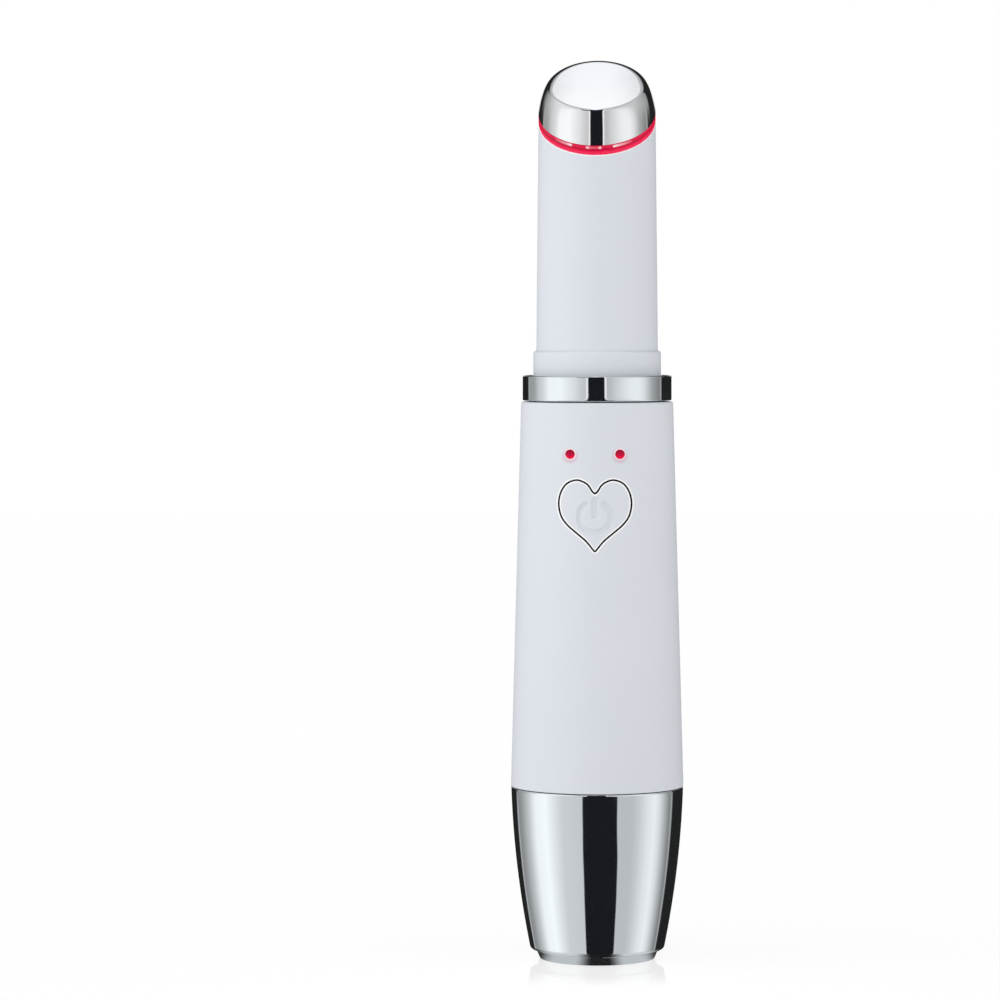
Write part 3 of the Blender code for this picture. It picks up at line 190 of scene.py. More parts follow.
def build_studio_world():
    """Lights the wand evenly, and shows white to the camera and the softboxes and cards to its gloss."""
    world = bpy.data.worlds.new("studio")
    bpy.context.scene.world = world
    world.use_nodes = True
    world.cycles.sampling_method = "NONE"
    tree = world.node_tree
    tree.nodes.clear()
    way = node(tree, "TexCoord", out="Generated")
    across, along, up = node(tree, "SeparateXYZ", inputs=[way], out=None)
    angle = node(tree, "Math", multiply_add,
                 [bearing(tree, across, along), float(np.degrees(1)), -camera_azimuth])
    height = node(tree, "Math", {"operation": "ARCSINE"}, [up])
    height = node(tree, "Math", multiply, [height, float(np.degrees(1))])
    place = node(tree, "MapRange", None, [angle, -180, 180])
    level, middle, high = (
        node(tree, "ValToRGB", None, [place],
             stops=[((degrees + 180) / 360, (*shade * studio_tint, 1)) for degrees, shade in levels])
        for levels in softbox_levels.values())

    card_half, card_middle, lowest = (node(tree, "MapRange", smooth, [height, *row]) for row in card_changes)
    off = node(tree, "Math", subtract, [angle, card_middle])
    off = node(tree, "Math", subtract, [off, lowest])
    off = node(tree, "Math", absolute, [off])
    for width in (card_half, lowest):
        off = node(tree, "Math", subtract, [off, width])
    side = node(tree, "Math", absolute, [angle])

    # The overhead softbox, which the face shows, fades to both sides
    beside = node(tree, "Math", {"operation": "ADD"}, [across, ceiling_offset])
    beside = node(tree, "Math", absolute, [beside])
    fade = node(tree, "MapRange", smooth, [beside, *ceiling_fade])
    share = node(tree, "MapRange", smooth, [height, *ceiling_colours_meet])
    overhead = node(tree, "Mix", blend,
                    {"Factor": share, "A": ceiling_colours[0], "B": ceiling_colours[1]}, out="Result")
    overhead = node(tree, "Mix", {**blend, "blend_type": "MULTIPLY"},
                    {"Factor": 1.0, "A": overhead, "B": fade}, out="Result")

    # Each row covers the ones before it, between edges that fade in from one value to the other. The arm is
    # a lamp's, above the camera, and shows in the rounded front edge of the head. The row of plain white is
    # a gap between the rear cards, low over the floor, which keeps the floor's sheen white
    for colour, *edges in (
            (middle, (height, -9, -5)),
            (high, (height, 2, 12)),
            (ground_colour, (height, -34, -42)),
            (edge_colour, (off, 3.6, 2.2), (height, -9, -5)),
            (card_colour, (off, 0.5, -0.5)),
            (arm_colour, (angle, -34, -30), (angle, 9, 6), (height, 7, 10), (height, 34, 30)),
            (plain_white, (side, 163, 168), (height, 3, 5), (height, 15, 13)),
            (overhead, (height, 42, 54))):
        cover, *others = (node(tree, "MapRange", smooth, edge) for edge in edges)
        for other in others:
            cover = node(tree, "Math", multiply, [cover, other])
        level = node(tree, "Mix", blend, {"Factor": cover, "A": level, "B": colour}, out="Result")

    # Plain light for the dull parts: two large softboxes, the left one stronger, and less from behind
    slope = node(tree, "Math", multiply_add, [across, side_light, right_light])
    even = node(tree, "Math", multiply_add, [slope, across, front_light])
    for row in ((along, *behind_fade), (up, *above_gain)):
        share = node(tree, "MapRange", smooth, row)
        even = node(tree, "Math", multiply, [even, share])
    path = node(tree, "LightPath", out=None)
    white = node(tree, "Math", {"operation": "MAXIMUM"},
                 [path["Is Camera Ray"], path["Is Transmission Ray"]])
    shown = even
    for ray, colour in ((path["Is Glossy Ray"], level), (white, plain_white)):
        shown = node(tree, "Mix", blend, {"Factor": ray, "A": shown, "B": colour}, out="Result")
    light = node(tree, "Background", None, [shown, 1.0])
    node(tree, "OutputWorld", None, [light], out=None)


build_studio_world()


def build_floor():
    """A white board that glows evenly to the camera, with a little shadow and a sheen that fade away from
    the foot.

    It is clear from below, so that the wand's underside can be looked at. Gloss sees it close to the foot
    only, grey, with the dark stand of the front card on it.
    """
    radius = 1.5
    gap = 0.02 * mm
    board_glow = 0.885
    shadow_share = 0.26
    shadow_foot, shadow_reach = 20 * mm, 130 * mm
    sheen_share = 0.16
    sheen_foot, sheen_reach = 17 * mm, 32 * mm
    mirror_foot, mirror_reach = 12 * mm, 13.5 * mm
    chalk_colour, mirror_colour = (0.15, 0.15, 0.15, 1), (0.96, 1.0, 1.01, 1)
    open_level, stand_level, side_level = 0.74, 0.015, 0.06
    stand_middle, stand_half, stand_end, side_start, side_end = np.radians((4.5, 9.0, 28.0, 50, 88)).tolist()
    angles = np.linspace(0, 2 * np.pi, 64, endpoint=False)
    corners = np.stack([radius * np.cos(angles), radius * np.sin(angles), np.full(64, -gap)], 1)
    mesh = bpy.data.meshes.new("studio_floor")
    mesh.from_pydata(corners.tolist(), [], [list(range(64))])
    floor = bpy.data.objects.new("studio_floor", mesh)
    bpy.context.scene.collection.objects.link(floor)
    look = bpy.data.materials.new("white_studio_board")
    look.use_nodes = True
    tree = look.node_tree
    tree.nodes.clear()
    place = node(tree, "TexCoord", out="Object")
    across, along, _ = node(tree, "SeparateXYZ", inputs=[place], out=None)
    away = node(tree, "VectorMath", {"operation": "LENGTH"}, [place], out="Value")
    off = node(tree, "Math", subtract, [bearing(tree, across, along), stand_middle])
    off = node(tree, "Math", absolute, [off])
    sheen, near, lit, ends = (node(tree, "MapRange", smooth, row) for row in (
        [away, sheen_reach, sheen_foot, 0.0, sheen_share],
        [away, shadow_reach, shadow_foot, 0.0, shadow_share],
        [off, stand_half, stand_end, stand_level, open_level],
        [off, side_end, side_start, side_level, 1.0]))
    # For diffuse rays only, the glow is dimmed near the foot: a painted shadow that the wand's lower parts
    # see, on top of the chalk's real shadow
    path = node(tree, "LightPath", out=None)
    near = node(tree, "Math", multiply, [near, path["Is Diffuse Ray"]])
    glow = node(tree, "Math", subtract, [board_glow, near])
    glow = node(tree, "Emission", None, [plain_white, glow])
    chalk = node(tree, "BsdfDiffuse", None, [chalk_colour])
    board = node(tree, "AddShader", None, [glow, chalk])
    gloss = node(tree, "BsdfGlossy", None, {"Color": plain_white, "Roughness": 0.03})
    board = node(tree, "MixShader", None, [sheen, board, gloss])
    lit = node(tree, "Math", multiply, [lit, ends])
    mirrored = node(tree, "Emission", None, [mirror_colour, lit])
    clear = node(tree, "BsdfTransparent", None, [plain_white])
    close = node(tree, "MapRange", None, [away, mirror_reach, mirror_foot])
    mirrored = node(tree, "MixShader", None, [close, clear, mirrored])
    shown = node(tree, "MixShader", None, [path["Is Glossy Ray"], board, mirrored])
    below = node(tree, "NewGeometry", out="Backfacing")
    shown = node(tree, "MixShader", None, [below, shown, clear])
    node(tree, "OutputMaterial", None, [shown], out=None)
    mesh.materials.append(look)


build_floor()


# Foot plug: the satin plated ring that the wand stands on, with the charging slot through its floor.
# Zinc alloy, die cast and bead blasted before plating, pushed into the bottom of the base.
def surface(name, points, faces, look, rim=None):
    """Makes a smooth closed piece of points and faces, with its doubles merged and its faces turned out.

    rim is a number at each point for the material: 1 where a highlight is painted on an edge, -1 where shade
    is painted in a gap, 0 elsewhere.
    """
    mesh = bpy.data.meshes.new(name)
    mesh.from_pydata(np.reshape(points, (-1, 3)).tolist(), [], np.asarray(faces).tolist())
    if rim is not None:
        # The rim numbers carry the painted highlight and painted shade of the white material
        mesh.attributes.new("rim", "FLOAT", "POINT").data.foreach_set("value", np.ravel(rim))
    shape = bmesh.new()
    shape.from_mesh(mesh)
    bmesh.ops.delete(shape, geom=[v for v in shape.verts if not v.link_faces], context="VERTS")
    bmesh.ops.remove_doubles(shape, verts=shape.verts, dist=0.0005 * mm)
    bmesh.ops.recalc_face_normals(shape, faces=shape.faces)
    shape.to_mesh(mesh)
    shape.free()
    mesh.shade_smooth()
    mesh.set_sharp_from_angle(angle=np.radians(35))
    mesh.materials.append(look)
    piece = bpy.data.objects.new(name, mesh)
    bpy.context.scene.collection.objects.link(piece)
    return piece


def quads(rows, columns, closed=False, start=0):
    """Corner numbers of a grid's faces. Its columns run round; closed joins its last row to its first."""
    row, column = np.meshgrid(np.arange(rows if closed else rows - 1), np.arange(columns), indexing="ij")
    after, beside = (row + 1) % rows, (column + 1) % columns
    corners = [row * columns + column, row * columns + beside, after * columns + beside,
               after * columns + column]
    return start + np.stack(corners, -1).reshape(-1, 4)


def round_turn(count):
    """Angles of count points evenly round a turn."""
    return np.linspace(0, 2 * np.pi, count, endpoint=False)


def filleted(corners, steps=6):
    """Rounds the corners (across, up, radius) of a closed outline with arcs that touch both sides."""
    points = np.array([corner[:2] for corner in corners], float)
    share = np.linspace(0, 1, steps + 1)[:, None]
    outline = []
    for index, (*_, radius) in enumerate(corners):
        here = points[index]
        if radius == 0:
            outline.append(here[None])
            continue
        back, ahead = (points[index - 1] - here), (points[(index + 1) % len(points)] - here)
        back, ahead = back / np.linalg.norm(back), ahead / np.linalg.norm(ahead)
        half = np.arccos(np.clip(back @ ahead, -1, 1)) / 2
        centre = here + (back + ahead) / np.linalg.norm(back + ahead) * radius / np.sin(half)
        first, last = (here + way * radius / np.tan(half) - centre for way in (back, ahead))
        sweep = np.pi - 2 * half
        arc = np.sin((1 - share) * sweep) * first + np.sin(share * sweep) * last
        outline.append(centre + arc / np.sin(sweep))
    return np.concatenate(outline)


def turned(outline, sides):
    """Turns an outline of (radius, height) round the wand's axis: x is radius times sine, y minus cosine."""
    angles = round_turn(sides)
    radius, height = outline[:, :1], outline[:, 1:2]
    return np.stack([radius * np.sin(angles), -radius * np.cos(angles), height + 0 * angles], -1)


def principled(name, settings):
    """A material with its node tree and one Principled shader, given as input names and values."""
    look = bpy.data.materials.new(name)
    look.use_nodes = True
    shader = look.node_tree.nodes["Principled BSDF"]
    fill(look.node_tree, shader, settings)
    return look, look.node_tree, shader


def bead_blasted_plating():
    """Satin chrome over a blasted casting: grey, with fine pits that spread its highlights."""
    look, tree, shader = principled("bead_blasted_plating",
                                    {"Base Color": linear("#D6D9DC"), "Metallic": 1.0})
    place = node(tree, "TexCoord", out="Object")
    pits = node(tree, "TexNoise", None, {"Vector": place, "Scale": 1 / (0.25 * mm), "Detail": 3.0})
    rough = node(tree, "MapRange", None, {"Value": pits, "To Min": 0.11, "To Max": 0.17})
    bump = node(tree, "Bump", None, {"Strength": 0.10, "Distance": 0.02 * mm, "Height": pits})
    fill(tree, shader, {"Roughness": rough, "Normal": bump})
    return look


foot_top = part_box("foot_plug")[1].z
base_foot, base_top = (corner.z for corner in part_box("chrome_base"))
foot_radius = 9.3 * mm
foot_sole_radius = 8.7 * mm
foot_plug_radius = 8.64 * mm
foot_plug_bore = 7.44 * mm
foot_floor = 2.0 * mm
foot_seam = 0.06 * mm
slot_half_width = 4.0 * mm
slot_half_depth = 1.55 * mm
slot_chamfer = 1.0 * mm
slot_corner = 0.2 * mm


def slot_ring(count, height):
    """The charging slot's outline at a height, as count points at the angles of a turned ring."""
    wide, deep, cut = slot_half_width, slot_half_depth, slot_chamfer
    corners = ((-wide, deep), (wide, deep), (wide, cut - deep), (wide - cut, -deep), (cut - wide, -deep),
               (-wide, cut - deep))
    outline = filleted([(*corner, slot_corner) for corner in corners], 8)
    outline = np.concatenate([outline, outline[:1]])
    fine = np.concatenate([np.linspace(a, b, 24, endpoint=False) for a, b in zip(outline[:-1], outline[1:])])
    turn = np.arctan2(fine[:, 0], -fine[:, 1]) % (2 * np.pi)
    x, y = (np.interp(round_turn(count), turn[np.argsort(turn)], fine[np.argsort(turn), axis],
                      period=2 * np.pi) for axis in (0, 1))
    return np.stack([x, y, np.full(count, height)], -1)


def build_foot():
    """Rings from the slot over the sole, up the flared edge, and down inside the plug to the slot again."""
    sides = 192
    seam = base_foot - foot_seam
    rings = turned(filleted([
        (foot_sole_radius - 0.5 * mm, 0, 0), (foot_sole_radius, 0, 0.28 * mm),
        (foot_radius, seam, 0.12 * mm), (foot_plug_radius, seam, 0), (foot_plug_radius, foot_top, 0.15 * mm),
        (foot_plug_bore, foot_top, 0.15 * mm), (foot_plug_bore, foot_floor, 0.3 * mm),
        (foot_plug_bore - 1.0 * mm, foot_floor, 0)]), sides)
    shares = np.linspace(0, 1, 8)[:, None, None]
    inner_low, inner_high = slot_ring(sides, 0.0), slot_ring(sides, foot_floor)
    sole = inner_low + (rings[0] - inner_low) * shares[:-1]
    floor = rings[-1] + (inner_high - rings[-1]) * shares[1:]
    points = np.concatenate([sole, rings, floor])
    return surface("foot_ring", points, quads(len(points), sides, closed=True), bead_blasted_plating())


foot_ring = build_foot()
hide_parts("foot_plug")
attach(foot_ring, "body")


# Base: one deep shell of ABS, drawn in toward the foot and plated in bright chrome, pushed on the handle.
# The plating copies the moulding's polish, so it mirrors the room with only a trace of haze.
def bright_chrome_plate(name, wave, ripple, code="#E4E7EA"):
    """Bright plating on polished plastic: a mirror with faint haze and slight ripples, wave metres apart."""
    look, tree, shader = principled(name, {"Base Color": linear(code), "Metallic": 1.0})
    place = node(tree, "TexCoord", out="Object")
    haze = node(tree, "TexNoise", None, {"Vector": place, "Scale": 1 / (1.5 * mm), "Detail": 4.0})
    rough = node(tree, "MapRange", None, {"Value": haze, "To Min": 0.035, "To Max": 0.065})
    swell = node(tree, "TexNoise", None, {"Vector": place, "Scale": 1 / wave, "Detail": 1.0})
    bump = node(tree, "Bump", None, {"Strength": 1.0, "Distance": ripple, "Height": swell})
    fill(tree, shader, {"Roughness": rough, "Normal": bump})
    return look


base_top_radius = 13.06 * mm
base_foot_radius = 10.14 * mm
base_wall = 1.2 * mm
base_corner = 0.7 * mm
base_straight_share = 0.26
# The model leaves a gap of this size where pieces meet, and the seams here are finer
model_gap = 0.3 * mm
handle_foot = base_top + model_gap
base_length = handle_foot - base_foot
base_seam = 0.10 * mm


def base_radius(height):
    """Radius at a height: a share of it tapers evenly, and the rest with the square of the way down."""
    drop = (handle_foot - height) / base_length
    share = base_straight_share * drop + (1 - base_straight_share) * drop ** 2
    return base_top_radius + (base_foot_radius - base_top_radius) * share


def build_base():
    """The curved taper, its rounded lower corner and its inner wall, turned round the axis."""
    sides = 256
    top = handle_foot - base_seam
    heights = np.linspace(top - 0.3 * mm, base_foot + base_corner, 72)
    outer, inner = ([(radius - wall, height, 0) for radius, height in zip(base_radius(heights), heights)]
                    for wall in (0, base_wall))
    points = turned(filleted([
        (base_radius(top), top, 0.10 * mm), *outer, (base_radius(base_foot), base_foot, 0.6 * mm),
        (base_foot_radius - base_wall, base_foot, 0.1 * mm), *inner[::-6][1:-1],
        (base_radius(top) - base_wall, top, 0.1 * mm)]), sides)
    return surface("base_shell", points, quads(len(points), sides, closed=True),
                   bright_chrome_plate("bright_chrome_base", 9 * mm, 0.03 * mm))


base_shell = build_base()
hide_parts("chrome_base")
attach(base_shell, "body")


# Handle casing: a tapered tube of white ABS with a satin surface, moulded in one with the spigot that the
# base pushes on. Its heart hole and two round holes are cored straight through the front wall.
def moulded_white(name):
    """White satin ABS: a faint sheen over fine moulding grain, its shade a little cool.

    A light line is painted round its openings, a painted highlight, and the gaps that light misses are
    painted dark, a painted shade.
    """
    look, tree, shader = principled(name, {"IOR": 1.46, "Specular IOR Level": 0.22})
    place = node(tree, "TexCoord", out="Object")
    grain = node(tree, "TexNoise", None, {"Vector": place, "Scale": 1 / (0.12 * mm), "Detail": 3.0})
    cloud = node(tree, "TexNoise", None, {"Vector": place, "Scale": 1 / (14 * mm), "Detail": 2.0})
    rough = node(tree, "MapRange", None, {"Value": grain, "To Min": 0.42, "To Max": 0.52})
    shade = node(tree, "Mix", blend,
                 {"Factor": cloud, "A": linear("#DBDFE6"), "B": linear("#DFE3E9")}, out="Result")
    rim = node(tree, "Attribute", {"attribute_name": "rim"}, out="Fac")
    # Painted highlight where rim is above zero, and painted shade where it is below zero
    for start, end, code in ((0.25, 0.9, "#FEFEFF"), (-0.1, -0.7, "#1C1414")):
        share = node(tree, "MapRange", smooth, [rim, start, end])
        shade = node(tree, "Mix", blend, {"Factor": share, "A": shade, "B": linear(code)}, out="Result")
    bump = node(tree, "Bump", None, {"Strength": 0.12, "Distance": 0.01 * mm, "Height": grain})
    fill(tree, shader, {"Base Color": shade, "Roughness": rough, "Normal": bump})
    return look


def insides(look):
    """A material's node tree, its Principled shader, and the output that feeds the shader's base colour."""
    shader = look.node_tree.nodes["Principled BSDF"]
    return look.node_tree, shader, shader.inputs["Base Color"].links[0].from_socket


spigot_foot, handle_top = (corner.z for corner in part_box("handle_casing"))
handle_length = handle_top + model_gap - handle_foot
handle_foot_radius = 13.1 * mm
handle_top_radius = 11.5 * mm
handle_wall = 1.6 * mm
handle_sides = 240
rim_bore = 9.3 * mm
rim_depth = 3.0 * mm
spigot_radius = base_radius(spigot_foot) - base_wall - model_gap
spigot_wall = 1.3 * mm
lens_height = handle_top + model_gap - 7.94 * mm
lens_across = 7.43 / 2 * mm
lens_hole = 0.70 * mm
heart_height = lens_height - 9.15 * mm
heart_half_width = 5.43 * mm
heart_half_height = 5.31 * mm
heart_seam = 0.26 * mm
hole_lip = 0.10 * mm
hole_rim = 0.05 * mm
hole_rim_fade = 0.14 * mm
hole_shadow_depth = 0.3 * mm
leak_drop = 0.2 * mm
leak_core = 0.8 * mm
leak_edge = 1.4 * mm
leak_share = 0.6
heart_shares = (
    (0.0, -1.0), (0.05, -0.955), (0.24, -0.72), (0.505, -0.489), (0.76, -0.265), (0.93, -0.02), (1.0, 0.316),
    (0.945, 0.64), (0.78, 0.893), (0.52, 0.999), (0.30, 0.94), (0.165, 0.83), (0.08, 0.69), (0.0, 0.625),
)


def handle_radius(height):
    """Outer radius of the casing, a straight taper."""
    share = (height - handle_foot) / handle_length
    return handle_foot_radius + (handle_top_radius - handle_foot_radius) * share


def evenly(outline, count):
    """Picks count points at even steps along a closed outline of many points, from its first point."""
    loop = np.concatenate([outline, outline[:1]])
    run = np.concatenate([[0], np.cumsum(np.linalg.norm(np.diff(loop, axis=0), axis=1))])
    steps = np.linspace(0, run[-1], count, endpoint=False)
    return np.stack([np.interp(steps, run, loop[:, axis]) for axis in (0, 1)], 1)


def heart(offset, count):
    """The heart as count points (x, z) about its centre, from the notch round to the right.

    A closed Catmull-Rom curve runs through the shares and their mirror images, and offset moves it outward.
    """
    half = np.array(heart_shares)[::-1]
    knots = np.concatenate([half, half[-2:0:-1] * (-1, 1)]) * (heart_half_width, heart_half_height)
    a, b, c, d = (np.roll(knots, shift, 0)[:, None] for shift in (1, 0, -1, -2))
    t = np.linspace(0, 1, 40, endpoint=False)[None, :, None]
    curve = 2 * b + (c - a) * t + (2 * a - 5 * b + 4 * c - d) * t ** 2 + (3 * b - a - 3 * c + d) * t ** 3
    curve = evenly(curve.reshape(-1, 2) / 2, 1400)
    along = np.roll(curve, -6, 0) - np.roll(curve, 6, 0)
    along /= np.linalg.norm(along, axis=1)[:, None]
    return evenly(curve + offset * np.stack([-along[:, 1], along[:, 0]], 1), count)


def disc(radius, count):
    """A circle as count points (x, z), from its top round to the right."""
    return radius * np.stack([np.sin(round_turn(count)), np.cos(round_turn(count))], 1)


def on_handle(across, height, inset=0.0):
    """Points of the casing's front surface, or of one inset below it, from x and z."""
    radius = handle_radius(height) - inset
    return np.stack([across, -np.sqrt(radius ** 2 - across ** 2), height], -1)


def hole_rings(frames, outline, centre):
    """Rings that fill a window of the casing round a hole, and the share of painted highlight or painted
    shade for each.

    They run over the outer surface to the hole's rounded lip, through the wall, and over the inner surface.
    outline(offset, count) gives the hole's points, and frames are the window's points on both surfaces.
    """
    def edge(offset):
        return (outline(offset, len(frames[0])) + centre).T

    def across(offset, frame, inset, shares):
        """Rings over the surface at inset, from the hole's edge, share 0, to the window's frame, share 1."""
        x, z = edge(offset)
        turn = np.arcsin(x / (handle_radius(z) - inset))
        turn = turn + (np.arctan2(frame[:, 0], -frame[:, 1]) - turn) * shares[:, None]
        height = z + (frame[:, 2] - z) * shares[:, None]
        radius = handle_radius(height) - inset
        return np.stack([radius * np.sin(turn), -radius * np.cos(turn), height], -1)

    flat = hole_lip + hole_rim
    rings = [*across(flat + hole_rim_fade, frames[0], 0.0, np.linspace(1, 0, 9) ** 1.5),
             on_handle(*edge(flat))]
    for turn in np.radians(np.linspace(0, 90, 7)):
        sunk = (0, hole_lip * (1 - np.cos(turn)), 0)
        rings.append(on_handle(*edge(hole_lip * (1 - np.sin(turn)))) + sunk)
    rings += [on_handle(*edge(0.0), hole_shadow_depth),
              *across(0.0, frames[1], handle_wall, np.linspace(0, 1, 6))]
    # Painted highlight, 1, on the lip's rings, painted shade, -1, down the hole's wall, and 0 elsewhere
    return np.array(rings), np.repeat((0, 1, -1, 0), (9, 8, 2, 5))


def from_lens(tree, drop=0.0):
    """Seen from the front, the distance from a spot at drop below the nearer lens's middle; and y and z."""
    across, along, up = node(tree, "SeparateXYZ", inputs=[node(tree, "TexCoord", out="Object")], out=None)
    across = node(tree, "Math", absolute, [across])
    flat = node(tree, "CombineXYZ", None, {"X": across, "Z": up})
    spot = (lens_across, 0, lens_height - drop)
    return node(tree, "VectorMath", {"operation": "DISTANCE"}, [flat, spot], out="Value"), along, up


def casing_plastic():
    """The white ABS, with a painted pink glow round each lens: the red light that leaks into the wall,
    painted into its colour.
    """
    look = moulded_white("moulded_white_casing")
    tree, shader, shade = insides(look)
    away, along, _ = from_lens(tree, leak_drop)
    # Painted light: a pink pool round each lens, tinted into the base colour
    share = node(tree, "MapRange", smooth, [away, leak_edge, leak_core, 0.0, leak_share])
    front = node(tree, "Math", {"operation": "LESS_THAN"}, [along, 0.0])
    share = node(tree, "Math", multiply, [share, front])
    shade = node(tree, "Mix", {**blend, "blend_type": "MULTIPLY"},
                 {"Factor": share, "A": shade, "B": linear("#F6C4D2")}, out="Result")
    fill(tree, shader, {"Base Color": shade})
    return look


def build_handle():
    """A turned tube with its spigot, with three windows filled by rings round the holes."""
    foot, top = handle_foot, handle_top
    heart_window, lens_window = 6.4 * mm, 1.4 * mm
    heart_turn, lens_turns = 39, (10.5, 30)
    whisker = 1e-7
    floors = (foot + 0.5 * mm, heart_height - heart_window, heart_height + heart_window,
              lens_height - lens_window, lens_height + lens_window, top - 0.5 * mm)
    rows = np.unique(np.concatenate([
        np.linspace(low, high, count) for low, high, count in zip(floors, floors[1:], (24, 33, 5, 8, 10))]))
    lower = filleted([(spigot_radius - spigot_wall, spigot_foot, 0.1 * mm),
                      (spigot_radius, spigot_foot, 0.2 * mm), (spigot_radius, foot, 0.05 * mm),
                      (handle_radius(foot), foot, 0.16 * mm),
                      (handle_radius(foot) - 1 * mm, foot + 9 * mm, 0)])[:-1]
    upper = filleted([(handle_radius(foot), foot, 0), (handle_radius(top), top, 0.3 * mm),
                      (rim_bore, top, 0.1 * mm), (rim_bore, top - rim_depth, 0)])[1:]
    ceiling = top - rim_depth - 1 * mm
    inner = np.append(ceiling, rows[(rows > foot + handle_wall) & (rows < ceiling)][::-1])
    profile = np.concatenate([lower, np.stack([handle_radius(rows), rows], 1), upper,
                              np.stack([handle_radius(inner) - handle_wall, inner], 1),
                              [(spigot_radius - spigot_wall, foot)]])
    points = turned(profile, handle_sides)
    faces = quads(len(profile), handle_sides, closed=True).reshape(len(profile), handle_sides, 4)
    keep = np.ones(faces.shape[:2], bool)
    patches = []
    for first, last, low, high, outline, centre in (
            (-heart_turn, heart_turn, *floors[1:3],
             lambda offset, count: heart(offset + heart_seam / 2, count), (0, heart_height)),
            (*lens_turns, *floors[3:5],
             lambda offset, count: disc(lens_hole + offset, count), (lens_across, lens_height)),
            (*np.negative(lens_turns[::-1]), *floors[3:5],
             lambda offset, count: disc(lens_hole + offset, count), (-lens_across, lens_height))):
        left, right = (round(degrees * handle_sides / 360) for degrees in (first, last))
        middle = left + (right - left + 1) // 2
        frames = []
        for inset in (0, handle_wall):
            near = np.abs(profile[:, 0] - handle_radius(profile[:, 1]) + inset) < whisker
            inside = near & (profile[:, 1] > low - whisker) & (profile[:, 1] < high + whisker)
            upward = np.nonzero(inside)[0]
            upward = upward[np.argsort(profile[upward, 1])]
            loop = np.array([*((upward[-1], column) for column in range(middle, right)),
                             *((row, right) for row in upward[:0:-1]),
                             *((upward[0], column) for column in range(right, left, -1)),
                             *((row, left) for row in upward[:-1]),
                             *((upward[-1], column) for column in range(left, middle))])
            frames.append(points[loop[:, 0], loop[:, 1] % handle_sides])
            opened = np.ix_(np.arange(upward.min(), upward.max()), np.arange(left, right) % handle_sides)
            keep[opened] = False
        patches.append(hole_rings(frames, outline, centre))
    grids, corners, painted_light_and_shade = [points.reshape(-1, 3)], [faces[keep]], [np.zeros(keep.size)]
    for rings, ring_painted_light_and_shade in patches:
        corners.append(quads(*rings.shape[:2], start=sum(len(grid) for grid in grids)))
        grids.append(rings.reshape(-1, 3))
        painted_light_and_shade.append(np.repeat(ring_painted_light_and_shade, rings.shape[1]))
    return surface("handle_shell", np.concatenate(grids), np.concatenate(corners), casing_plastic(),
                   np.concatenate(painted_light_and_shade))


handle_shell = build_handle()
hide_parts("handle_casing")
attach(handle_shell, "body")


# Heart button: the same white ABS, its front curved to lie flush with the casing. A flange behind the wall
# keeps it in, a stem presses the switch, and the power mark is engraved in its front by the mould.
button_points = 360
button_rings = 84
button_flange_reach = 0.34 * mm
button_flange_inset = handle_wall + 0.3 * mm
button_back = handle_radius(heart_height) - button_flange_inset - 2.6 * mm
button_stem_radius = 1.2 * mm
button_stem_length = 0.7 * mm
button_lip = 0.10 * mm
mark_radius = 2.3 * mm
mark_drop = 0.2 * mm
mark_line = 0.8 * mm
mark_depth = 0.30 * mm
mark_slope = 0.36 * mm
mark_half_opening = 35.5
mark_bar_top = 2.71 * mm
mark_bar_foot = -0.46 * mm
mark_bar_width = 0.94 * mm


def mark_distance(x, z):
    """Distance from the outline of the power mark, less than zero inside it: an open ring and a bar."""
    rise = z + mark_drop
    opening = np.radians(mark_half_opening)
    end = np.hypot(np.abs(x) - mark_radius * np.sin(opening), rise - mark_radius * np.cos(opening))
    arc = np.abs(np.hypot(x, rise) - mark_radius)
    ring = np.where(np.arctan2(np.abs(x), rise) > opening, arc, end) - mark_line / 2
    half = mark_bar_width / 2
    bar = np.hypot(x, z - np.clip(z, mark_bar_foot + half, mark_bar_top - half)) - half
    return np.minimum(ring, bar)


def button_front(across, rise):
    """Points of the button's front, with the mark sunk into it by a smooth step of its distance."""
    share = np.clip(0.5 - mark_distance(across, rise) / mark_slope, 0, 1)
    points = on_handle(across, rise + heart_height)
    points[..., 1] += mark_depth * share ** 2 * (3 - 2 * share)
    return points


def build_button():
    """Heart rings shrink to the middle of the front, and go back over the lip, wall, flange and stem."""
    def ring(offset, inset=0.0):
        return on_handle(*(heart(offset, button_points) + (0, heart_height)).T, inset)

    side = -heart_seam / 2
    edge = heart(side - button_lip, button_points)
    face = edge * np.concatenate([[0], np.linspace(0.05, 1, button_rings - 1)])[:, None, None]
    rings = [*button_front(face[..., 0], face[..., 1])]
    # Painted highlight: a light line painted on the front near its edge, fading inward
    to_edge = np.linalg.norm(edge - face, axis=-1) - hole_rim
    painted_light_and_shade = [*np.clip(1 - to_edge / hole_rim_fade, 0, 1)]
    for turn in np.radians(np.linspace(0, 90, 7))[1:]:
        sunk = (0, button_lip * (1 - np.cos(turn)), 0)
        rings.append(ring(side - button_lip * (1 - np.sin(turn))) + sunk)
    rings += [ring(side, hole_shadow_depth), ring(side, button_flange_inset),
              ring(button_flange_reach, button_flange_inset)]
    flange = heart(button_flange_reach, button_points)
    stem = disc(button_stem_radius, button_points)
    tip = button_back - button_stem_length
    for outline, reach in ((flange, button_back), (stem, button_back), (stem, tip), (0 * stem, tip)):
        x, z = outline.T
        rings.append(np.stack([x, 0 * x - reach, z + heart_height], -1))
    # Painted highlight on the lip, and painted shade on the wall, flange and stem behind it
    painted_light_and_shade += [np.full(button_points, value) for value in [1] * 6 + [-1] * 7]
    return surface("heart_key", np.array(rings), quads(len(rings), button_points),
                   moulded_white("moulded_white_button"), np.array(painted_light_and_shade))


heart_key = build_button()
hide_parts("heart_button")
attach(heart_key, "button")


